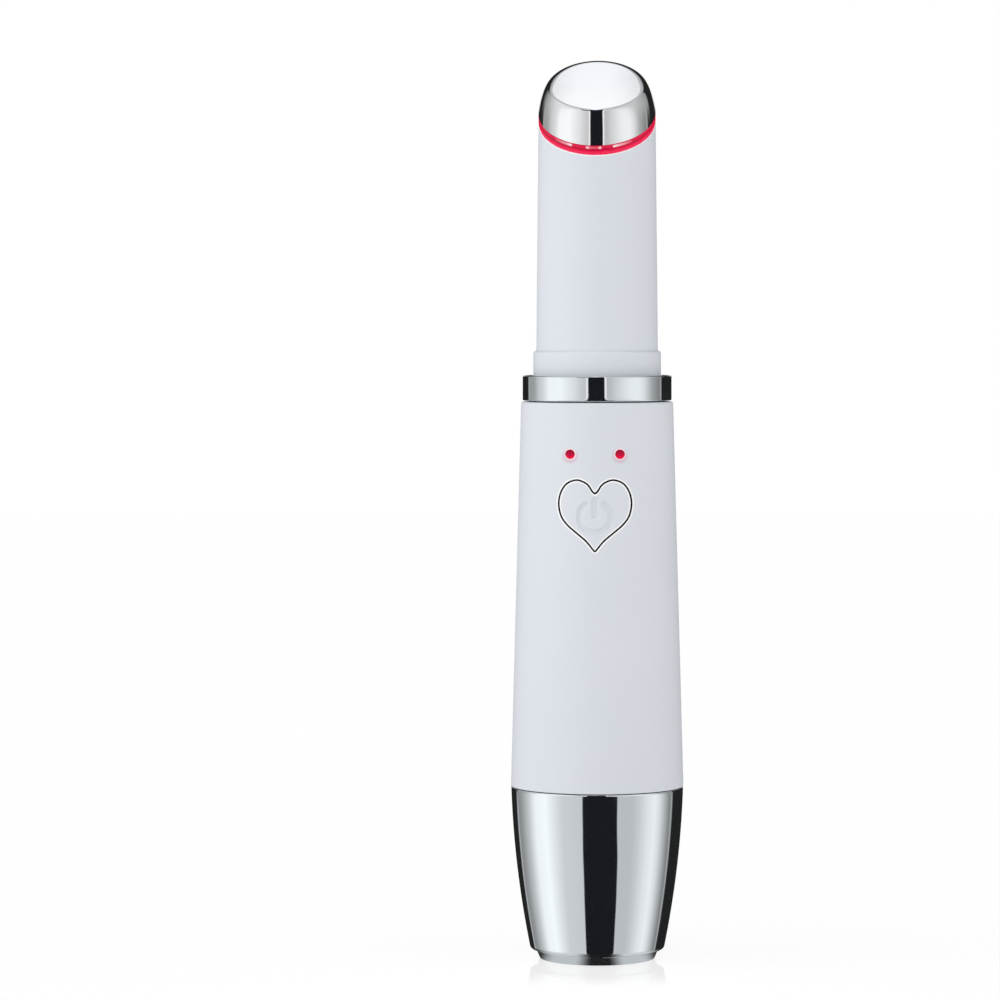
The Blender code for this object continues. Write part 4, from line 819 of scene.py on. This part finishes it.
# Indicator lenses: two small rods of clear red acrylic, pushed into the casing from inside, each over a red
# light on the board. Their rims glow brighter than their middles.
lens_radius = 0.66 * mm
lens_dome = 0.2 * mm
lens_flange_radius = 1.0 * mm
lens_flange_thickness = 0.7 * mm
lens_tail = 5.4 * mm
lens_middle = 0.26 * mm
lens_rim = 0.44 * mm


def glowing_acrylic(name, rough):
    """Clear red acrylic, lit from behind: dark by itself, with its glow as emission."""
    return principled(name, {"Base Color": linear("#200006"), "Roughness": rough, "IOR": 1.49,
                             "Specular IOR Level": 0.15, "Emission Strength": 1.0})


def lit_red_lens():
    """Crimson in the middle, darker round the top of the rim and bright at its bottom."""
    look, tree, shader = glowing_acrylic("lit_red_lens", 0.15)
    away, _, up = from_lens(tree)
    ring = node(tree, "MapRange", smooth, [away, lens_middle, lens_rim])
    drop = node(tree, "MapRange", smooth, [up, lens_height + 0.15 * mm, lens_height - 0.4 * mm])
    rim = node(tree, "Mix", blend,
               {"Factor": drop, "A": linear("#9C0A2E"), "B": linear("#F0143F")}, out="Result")
    glow = node(tree, "Mix", blend, {"Factor": ring, "A": linear("#BC1440"), "B": rim}, out="Result")
    fill(tree, shader, {"Emission Color": glow})
    return look


def build_lens(name, side, look):
    """A rod turned about the Y axis, with a domed front and a flange behind the casing's wall."""
    turns = round_turn(48)
    radius = handle_radius(lens_height)
    front = np.sqrt(radius ** 2 - lens_across ** 2) - 0.03 * mm
    flange = np.sqrt((radius - handle_wall) ** 2 - (lens_across + lens_flange_radius) ** 2) - 0.3 * mm
    flange_back = flange - lens_flange_thickness
    dome = np.radians(np.linspace(0, 90, 9))
    across, reach = np.concatenate([
        np.stack([lens_radius * np.sin(dome), front - lens_dome * (1 - np.cos(dome))], 1),
        [(lens_radius, flange), (lens_flange_radius, flange), (lens_flange_radius, flange_back),
         (lens_radius, flange_back), (lens_radius, lens_tail), (0, lens_tail)]]).T[..., None]
    points = np.stack([side * lens_across + across * np.sin(turns), -reach + 0 * turns,
                       lens_height + across * np.cos(turns)], -1)
    return surface(name, points, quads(*points.shape[:2]), look)


red_lens = lit_red_lens()
for word, side in (("left", -1), ("right", 1)):
    red_rod = build_lens(f"lens_rod_{word}", side, red_lens)
    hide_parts(f"indicator_lens_{word}")
    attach(red_rod, "body")


# Trim ring: turned brass, polished and plated like the base, trapped between the casing and the collar.
# Its two corners are broken, so each catches a thin line of light.
ring_foot, ring_top = (corner.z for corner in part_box("chrome_ring"))
ring_radius = 11.27 * mm
ring_corner = 0.2 * mm
ring_seat_depth = 0.6 * mm
ring_seam = 0.17 * mm
collar_radius = 9.66 * mm
collar_gap = 0.12 * mm


def build_ring():
    """The ring's section, with the recess in its top that the collar sits in, turned round the axis."""
    sides = 256
    foot, seat = ring_foot - model_gap + ring_seam, ring_top - ring_seat_depth
    recess = collar_radius + collar_gap
    points = turned(filleted([
        (rim_bore, foot, 0.1 * mm), (ring_radius, foot, ring_corner), (ring_radius, ring_top, ring_corner),
        (recess, ring_top, 0.1 * mm), (recess, seat, 0), (rim_bore, seat, 0)], 8), sides)
    return surface("trim_ring", points, quads(len(points), sides, closed=True),
                   bright_chrome_plate("bright_chrome_ring", 4 * mm, 0.02 * mm))


trim_ring = build_ring()
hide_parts("chrome_ring")
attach(trim_ring, "body")


# Neck: a slim tube of the same white ABS with a collar at its foot. Its top is cut at the head's lean, and
# inside it has a ledge for the light board. A skirt below the collar is glued into the casing's rim.
neck_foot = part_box("neck_tube")[0].z
lean = np.radians(31)
lean_slope = np.tan(lean)
collar_foot = ring_top - ring_seat_depth + collar_gap
collar_top = ring_top + 3.73 * mm
light_foot = collar_top + 34.52 * mm
neck_foot_radius = 9.2 * mm
neck_top_radius = 8.85 * mm
neck_skirt_radius = 9.0 * mm
neck_bore = 7.6 * mm
neck_seat_wall = 0.7 * mm
neck_seat_depth = 2.2 * mm
neck_seam = 0.02 * mm
neck_edge = 0.06 * mm
neck_line_share = 0.9965


def leaning(radius, height, share, angles):
    """A ring of points whose height rises toward the back, by share of the head's full lean."""
    back = -radius * np.cos(angles)
    return np.stack([radius * np.sin(angles), back, height + share * lean_slope * back], -1)


def build_neck():
    """Level rings up the skirt and collar, then rings that lean more and more up to the slanted cut."""
    angles = round_turn(240)
    top, ledge = light_foot - neck_seam, light_foot - neck_seat_depth
    lower = filleted([
        (neck_bore, neck_foot, 0.1 * mm), (neck_skirt_radius, neck_foot, 0.2 * mm),
        (neck_skirt_radius, collar_foot, 0), (collar_radius, collar_foot, 0.08 * mm),
        (collar_radius, collar_top, 0.42 * mm), (neck_foot_radius, collar_top, 0.12 * mm),
        (neck_foot_radius, collar_top + 1 * mm, 0)])[:-1]
    rings = [leaning(radius, height, 0, angles) for radius, height in lower]
    for share in (*np.linspace(0, 1, 40)[1:-1], neck_line_share, 1):
        height = collar_top + share * (top - neck_edge - collar_top)
        radius = neck_foot_radius + (neck_top_radius - neck_foot_radius) * share
        rings.append(leaning(radius, height, share, angles))
    for radius, height in ((neck_top_radius - neck_edge, top), (neck_top_radius - neck_seat_wall, top),
                           (neck_top_radius - neck_seat_wall, ledge), (neck_bore, ledge)):
        rings.append(leaning(radius, height, 1, angles))
    painted_light_and_shade = np.zeros((len(rings), len(angles)))
    # Painted highlight: a light line painted on the rings round the top edge
    painted_light_and_shade[-5:-2] = 1
    return surface("neck_sleeve", np.array(rings), quads(*painted_light_and_shade.shape, closed=True),
                   moulded_white("moulded_white_neck"), painted_light_and_shade)


neck_sleeve = build_neck()
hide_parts("neck_tube")
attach(neck_sleeve, "body")


# Light ring: clear red acrylic between neck and head, lit by four small lights on the board below it. Its
# outer face has a shallow groove under a bright lower bead, which spreads the light in two bands.
light_ring_height = 1.45 * mm
light_ring_wall = 1.95 * mm
light_ring_bead = 0.05 * mm
light_seam = 0.05 * mm
head_foot = light_foot + light_ring_height
light_bore = neck_top_radius - light_ring_wall
light_band_stops = (
    (0.0, "#E0244A"), (0.08, "#F23460"), (0.22, "#F42E58"), (0.36, "#EC2250"), (0.48, "#C8103A"),
    (0.60, "#C20A34"), (0.72, "#D81A42"), (0.86, "#E2264E"), (0.95, "#C21036"), (1.0, "#7A061C"),
)
# Painted highlights: white glints on the ring's front, as stops over the way round, and the heights they
# fade between
painted_glint_stops = (
    (0.0, 0.0), (0.11, 0.0), (0.24, 0.45), (0.285, 1.0), (0.30, 0.0), (0.415, 0.0), (0.43, 0.9),
    (0.455, 0.15), (0.52, 0.1), (0.54, 0.9), (0.556, 0.0), (0.645, 0.0), (0.66, 1.0), (0.70, 0.6),
    (0.78, 0.25), (0.84, 0.0), (1.0, 0.0),
)
painted_glint_edges = ((0.60, 0.69), (0.92, 0.83))
light_streak_change = (0.3, 0.7, 0.84, 1.12)


def lit_red_ring():
    """Crimson above, with a brighter bead below, faint streaks, and painted white highlights, glints, on its
    front.
    """
    look, tree, shader = glowing_acrylic("lit_red_ring", 0.12)
    place = node(tree, "TexCoord", out="Object")
    across, along, up = node(tree, "SeparateXYZ", inputs=[place], out=None)
    level = node(tree, "Math", multiply_add, [along, -lean_slope, up])
    band = node(tree, "MapRange", None, [level, light_foot, head_foot])
    glow = node(tree, "ValToRGB", None, [band],
                stops=[(spot, linear(code)) for spot, code in light_band_stops])
    angle = bearing(tree, across, along)
    turn_place = node(tree, "CombineXYZ", None, {"X": angle, "Y": band})
    streaks = node(tree, "TexNoise", None, {"Vector": turn_place, "Scale": 9.0, "Detail": 3.0})
    wave = node(tree, "MapRange", None, [streaks, *light_streak_change])
    glow = node(tree, "VectorMath", {"operation": "SCALE"}, {0: glow, "Scale": wave}, out="Vector")
    # Painted highlights: white glints mixed over the front of the ring
    painted_glint_place = node(tree, "MapRange", None, [angle, -1.0, 1.0])
    share = node(tree, "ValToRGB", None, [painted_glint_place],
                 stops=[(spot, (level, level, level, 1)) for spot, level in painted_glint_stops])
    for start, end in painted_glint_edges:
        edge = node(tree, "MapRange", smooth, [band, start, end])
        share = node(tree, "Math", multiply, [share, edge])
    glow = node(tree, "Mix", blend, {"Factor": share, "A": glow, "B": linear("#FFE4EA")}, out="Result")
    fill(tree, shader, {"Emission Color": glow})
    return look


def build_light_ring():
    """A leaning ring whose outer face has a bead, a groove and a bead, one above the other."""
    angles = round_turn(256)
    foot, top = light_foot + light_seam, head_foot - light_seam
    rise = np.linspace(0, 1, 25)
    bead = light_ring_bead * (np.abs(np.sin(2 * np.pi * rise)) - 1)
    rings = [leaning(neck_top_radius + swell, foot + share * (top - foot), 1, angles)
             for share, swell in zip(rise, bead)]
    rings += [leaning(light_bore, top, 1, angles), leaning(light_bore, foot, 1, angles)]
    return surface("glow_ring", np.array(rings), quads(len(rings), len(angles), closed=True), lit_red_ring())


glow_ring = build_light_ring()
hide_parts("light_ring")
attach(glow_ring, "body")


# Massage head: a cap of zinc alloy, die cast, polished and chrome plated, which the heater behind its face
# warms. It leans toward the user; its face has a crisp front edge that softens round the sides and back.
head_height = 4.66 * mm
head_wall = 0.8 * mm
head_lip = 1.0 * mm
head_crown = 0.12 * mm
edge_half_width = 7.28 * mm
edge_half_length_front = 7.66 * mm
edge_half_length_back = 8.87 * mm
shoulder_half_width = 8.46 * mm
shoulder_half_length_front = 7.88 * mm
shoulder_half_length_back = 9.58 * mm
shoulder_rise_front = 4.25 * mm
shoulder_rise_side = 2.72 * mm
shoulder_rise_back = 3.17 * mm
edge_rounding_front = 0.3 * mm
edge_rounding_side = 1.07 * mm
edge_rounding_back = 1.8 * mm
edge_soft_from = 0.22
edge_soft_to = 0.62


def oval(half_width, front, back, rise, angles):
    """A ring of (across, back, rise) in the leaning frame, with its own half length to front and back."""
    half_length = np.where(np.cos(angles) > 0, front, back)
    return np.stack([half_width * np.sin(angles), -half_length * np.cos(angles), rise + 0 * angles], -1)


def bowed(start, pull, stop, steps):
    """Rings along a quadratic Bezier curve from the ring start to the ring stop, without the first."""
    t = np.linspace(0, 1, steps + 1)[1:, None, None]
    return (1 - t) ** 2 * start + 2 * t * (1 - t) * pull + t ** 2 * stop


def head_rings(inset, height, angles):
    """Rings up the wall, over the shoulder and round the edge to the face: Bezier curves that share a slope.

    The edge is rounded little at the front, more at the sides and most at the back. Squared cosine and sine
    of the way round mix the shoulder's rises.
    """
    ahead, aside = np.cos(angles), np.sin(angles) ** 2
    shoulder_rise = (np.where(ahead > 0, shoulder_rise_front, shoulder_rise_back) * ahead ** 2
                     + shoulder_rise_side * aside)
    soft = np.clip(((1 - ahead) / 2 - edge_soft_from) / (edge_soft_to - edge_soft_from), 0, 1)
    soft = soft ** 2 * (3 - 2 * soft)
    behind = np.where(ahead > 0, 0, ahead ** 2)
    rounding = edge_rounding_side + (edge_rounding_back - edge_rounding_side) * behind
    rounding = (edge_rounding_front + (rounding - edge_rounding_front) * soft)[:, None]

    foot_length = neck_top_radius / np.cos(lean) - inset
    foot = oval(neck_top_radius - inset, foot_length, foot_length, 0, angles)
    shoulder = oval(shoulder_half_width - inset, shoulder_half_length_front - inset,
                    shoulder_half_length_back - inset, shoulder_rise * height / head_height, angles)
    edge = oval(edge_half_width - inset, edge_half_length_front - inset, edge_half_length_back - inset,
                height, angles)
    down = shoulder - edge
    join = edge + down / np.linalg.norm(down, axis=1)[:, None] * rounding
    face = edge + np.stack([-np.sin(angles), np.cos(angles), 0 * angles], -1) * rounding
    return [foot, *bowed(foot, shoulder, join, 28), *bowed(join, edge, face, 14)]


def build_head():
    """The wall, the crowned face to its middle, and the hollow inside, leaned toward the user."""
    angles = round_turn(320)
    outer = head_rings(0, head_height, angles)
    rim = outer[-1]
    shares = np.linspace(1, 0, 28)[1:, None]
    crown = rim[None] * np.stack([shares, shares, 0 * shares + 1], -1)
    crown[..., 2] += head_crown * (1 - shares ** 2)
    ceiling = head_height - head_wall
    cavity = [ring for ring in head_rings(head_wall, ceiling, angles) if ring[:, 2].min() > head_lip]
    lip = oval(light_bore, light_bore / np.cos(lean), light_bore / np.cos(lean), 0, angles)
    rings = np.array([0 * lip + (0, 0, ceiling), *cavity[::-1], lip + (0, 0, head_lip), lip, *outer, *crown])
    x, back, rise = np.moveaxis(rings, -1, 0)
    points = np.stack([x, back * np.cos(lean) - rise * np.sin(lean),
                       head_foot + back * np.sin(lean) + rise * np.cos(lean)], -1)
    return surface("head_cap", points, quads(len(points), len(angles)),
                   bright_chrome_plate("bright_chrome_head", 4 * mm, 0.02 * mm, "#EDEBEB"))


head_cap = build_head()
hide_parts("massage_head")
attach(head_cap, "body")


# Inner frame and head carrier: plates and rails of pale grey ABS, injection moulded, that hold the board,
# the cell and the heater. From here on the model's own solids stay, and each gets the finish of the real
# part. Here it is a soft sheen over the spark-eroded grain of the mould.
def dress(look, *names):
    """Gives a material to solids of the model, whose shapes are right as they are."""
    for name in names:
        for place in frame["nodes"][name].material_slots:
            place.material = look


def grained(name, codes, settings, grain, rough, depth, stretch=(1.0, 1.0, 1.0)):
    """A material whose grain mixes two colours, runs between two roughnesses and stands up by a depth.

    grain is its size in metres, and stretch makes it longer along an axis where its number is under one.
    """
    look, tree, shader = principled(name, settings)
    place = node(tree, "Mapping", None, {"Vector": node(tree, "TexCoord", out="Object"), "Scale": stretch})
    specks = node(tree, "TexNoise", None, {"Vector": place, "Scale": 1 / grain, "Detail": 4.0})
    shade = node(tree, "Mix", blend,
                 {"Factor": specks, "A": linear(codes[0]), "B": linear(codes[1])}, out="Result")
    matt = node(tree, "MapRange", None, {"Value": specks, "To Min": rough[0], "To Max": rough[1]})
    bump = node(tree, "Bump", None, {"Strength": 0.5, "Distance": depth, "Height": specks})
    fill(tree, shader, {"Base Color": shade, "Roughness": matt, "Normal": bump})
    return look


dress(grained("moulded_grey_abs", ("#BFC1C3", "#CBCCCE"), {"IOR": 1.54}, 0.3 * mm, (0.48, 0.62), 0.02 * mm),
      "inner_frame", "head_carrier")


# Circuit boards: woven glass laminate under green solder mask, cut by a router. The upright one carries the
# switch and the controller, the lowest the charging socket, and the ring-shaped one the four red lights.
def masked_glass_laminate():
    """Green lacquer over copper: lighter, raised tracks, 0.35 mm wide and 3 mm long, show through it."""
    track_size = (0.35 * mm, 1.0, 3.0 * mm)
    look = grained("masked_glass_laminate", ("#1B5A34", "#1F6439"), {"IOR": 1.5, "Coat Weight": 0.3},
                   0.2 * mm, (0.22, 0.34), 0.004 * mm)
    tree, shader, shade = insides(look)
    cell = node(tree, "VectorMath", {"operation": "SNAP"},
                [node(tree, "TexCoord", out="Object"), track_size])
    pick = node(tree, "TexWhiteNoise", None, {"Vector": cell}, out="Value")
    track = node(tree, "Math", {"operation": "GREATER_THAN"}, [pick, 0.55])
    shade = node(tree, "Mix", blend, {"Factor": track, "A": shade, "B": linear("#2E8450")}, out="Result")
    bump = node(tree, "Bump", None, {"Strength": 0.6, "Distance": 0.03 * mm, "Height": track})
    fill(tree, shader, {"Base Color": shade, "Normal": bump})
    return look


dress(masked_glass_laminate(), "main_board", "charge_board", "light_board")


# Black moulded pieces: the controller and charging chips, the switch's body, the socket's tongue, the
# motor's end cap and the bead of the heat sensor. Epoxy or glass-filled nylon, transfer moulded: nearly
# black, dull, with the fine speckle of its glass filler.
dress(grained("moulded_black_resin", ("#161617", "#232324"), {"IOR": 1.55}, 0.1 * mm, (0.45, 0.65),
              0.01 * mm),
      "tact_switch", "controller_chip", "charge_chip", "charge_socket_tongue", "motor_end_cap", "thermistor")


# Power inductor: a coil in a shield that is pressed from iron powder, soldered to the board. The shield is
# dark grey, with coarse, faintly shining grains.
dress(grained("pressed_iron_powder", ("#3A3A3D", "#56565A"), {"Metallic": 0.3}, 0.18 * mm, (0.4, 0.7),
              0.03 * mm), "power_inductor")


# Motor sleeve: moulded grey silicone, which holds the motor against noise. Its dull skin has a soft bloom at
# glancing angles.
dress(grained("moulded_grey_silicone", ("#39393B", "#414144"), {"IOR": 1.41, "Sheen Weight": 0.2}, 0.5 * mm,
              (0.62, 0.78), 0.01 * mm), "motor_sleeve")


# Steel pieces: board screws, the cell's welded tabs, the charging socket's shell and the motor's can, of
# rolled steel under nickel, which is bright, with fine lines along the way that it was rolled.
dress(grained("nickel_plated_steel", ("#A9AAAB", "#C4C5C5"), {"Metallic": 1.0}, 0.12 * mm, (0.20, 0.36),
              0.004 * mm, (1.0, 1.0, 0.08)),
      "board_screw_lower", "board_screw_upper", "battery_tab_top", "battery_tab_bottom",
      "charge_socket_shell", "motor_can")


# Eccentric weight: a half round, sintered from tungsten powder, that shakes the neck as the motor turns it.
# It is a dark, heavy-looking grey with a matt, grainy surface.
dress(grained("sintered_tungsten", ("#6E6E70", "#828284"), {"Metallic": 1.0}, 0.09 * mm, (0.42, 0.58),
              0.01 * mm), "eccentric_weight")


# Switch plunger: a pin of drawn brass rod, turned to length, that stands in the switch and passes the
# button's push on. It is warm yellow, with the fine lines of the drawing along it.
dress(grained("turned_brass", ("#B5914E", "#CDAA62"), {"Metallic": 1.0}, 0.1 * mm, (0.22, 0.34), 0.004 * mm,
              (1.0, 0.2, 1.0)), "switch_plunger")


# Storage capacitor: tantalum in a moulded epoxy case, soldered flat to the board. The case is ochre yellow
# and smooth, with a slight orange peel.
dress(grained("moulded_tantalum_case", ("#B98A2E", "#C69638"), {"IOR": 1.55}, 0.3 * mm, (0.32, 0.46),
              0.008 * mm), "storage_capacitor")


# Motor rotor and heater: the rotor is wound with enamelled copper wire, and the heater is copper foil,
# etched into one long track on amber film.
def wound_copper_wire():
    """Enamelled copper wire, 0.1 mm thick, wound in level turns and varnished."""
    look = grained("wound_copper_wire", ("#9C4A22", "#B96634"), {"Metallic": 1.0, "Coat Weight": 0.5},
                   0.4 * mm, (0.25, 0.40), 0.004 * mm)
    tree, shader, _ = insides(look)
    turns = node(tree, "TexWave", {"bands_direction": "Z"},
                 {"Vector": node(tree, "TexCoord", out="Object"), "Scale": 0.314 / (0.1 * mm)}, out="Fac")
    bump = node(tree, "Bump", None, {"Strength": 1.0, "Distance": 0.03 * mm, "Height": turns})
    fill(tree, shader, {"Normal": bump})
    return look


def etched_heater_foil():
    """Copper tracks under amber polyimide film: bands of copper, 0.5 mm wide, with amber between them."""
    look = grained("etched_heater_foil", ("#8F5A1E", "#9E6826"), {"IOR": 1.7, "Coat Weight": 0.4}, 0.6 * mm,
                   (0.25, 0.35), 0.004 * mm)
    tree, shader, shade = insides(look)
    place = node(tree, "TexCoord", out="Object")
    bands = node(tree, "TexWave", None, {"Vector": place, "Scale": 0.314 / (1.0 * mm)}, out="Fac")
    track = node(tree, "MapRange", None, [bands, 0.45, 0.55])
    shade = node(tree, "Mix", blend, {"Factor": track, "A": shade, "B": linear("#C97B4A")}, out="Result")
    fill(tree, shader, {"Base Color": shade})
    return look


dress(wound_copper_wire(), "motor_rotor")
dress(etched_heater_foil(), "heater_plate")


# Small lights: six surface-mounted lamps, each a die in a cup of fired alumina, soldered to the boards. The
# ceramic is off-white and dull, with faint grey clouds.
dress(grained("fired_alumina", ("#E2E0D8", "#ECEAE3"), {"IOR": 1.76}, 0.25 * mm, (0.5, 0.66), 0.006 * mm),
      "indicator_led_left", "indicator_led_right", *(f"light_led_{number}" for number in range(1, 5)))


# Battery cell: a steel can in blue PET film, shrunk on by heat. The film is glossy and ripples slightly
# where it was drawn tight over the can.
dress(grained("shrunk_blue_film", ("#1F4C93", "#2B5FB0"), {"IOR": 1.57, "Coat Weight": 0.4}, 2.5 * mm,
              (0.18, 0.30), 0.03 * mm, (1.0, 1.0, 0.4)), "battery_cell")


# Battery pad: a strip of open polyurethane foam, cut from sheet and glued on one side, that wedges the cell
# in the frame. It is almost black, quite dull and full of pores.
def open_cell_foam():
    """Polyurethane foam: pores half a millimetre across, painted dark as the shade inside them, between
    paler walls.
    """
    look = grained("open_cell_foam", ("#2B2B2D", "#3A3A3C"), {"IOR": 1.45}, 0.3 * mm, (0.85, 0.97),
                   0.01 * mm)
    tree, shader, shade = insides(look)
    pores = node(tree, "TexVoronoi", None,
                 {"Vector": node(tree, "TexCoord", out="Object"), "Scale": 1 / (0.5 * mm)}, out="Distance")
    # Painted shade: the pores are coloured near black
    shade = node(tree, "Mix", blend, {"Factor": pores, "A": linear("#101011"), "B": shade}, out="Result")
    bump = node(tree, "Bump", None, {"Strength": 1.0, "Distance": 0.15 * mm, "Height": pores})
    fill(tree, shader, {"Base Color": shade, "Normal": bump})
    return look


dress(open_cell_foam(), "battery_pad")


# Leads: stranded wire in extruded PVC, red for plus and black for minus, soldered at both ends and laid
# along the frame to the cell, the charging board, the motor, the heater and the light board. The PVC has a
# soft gloss, broken by faint lines and dust along the wire.
for pole, codes in (("plus", ("#9E1C1A", "#B4262A")), ("minus", ("#141415", "#212123"))):
    dress(grained(f"extruded_pvc_{pole}", codes, {"IOR": 1.53}, 0.2 * mm, (0.34, 0.5), 0.01 * mm,
                  (1.0, 1.0, 0.15)),
          *(f"{end}_lead_{pole}" for end in ("battery", "charge", "motor", "heater", "light")))
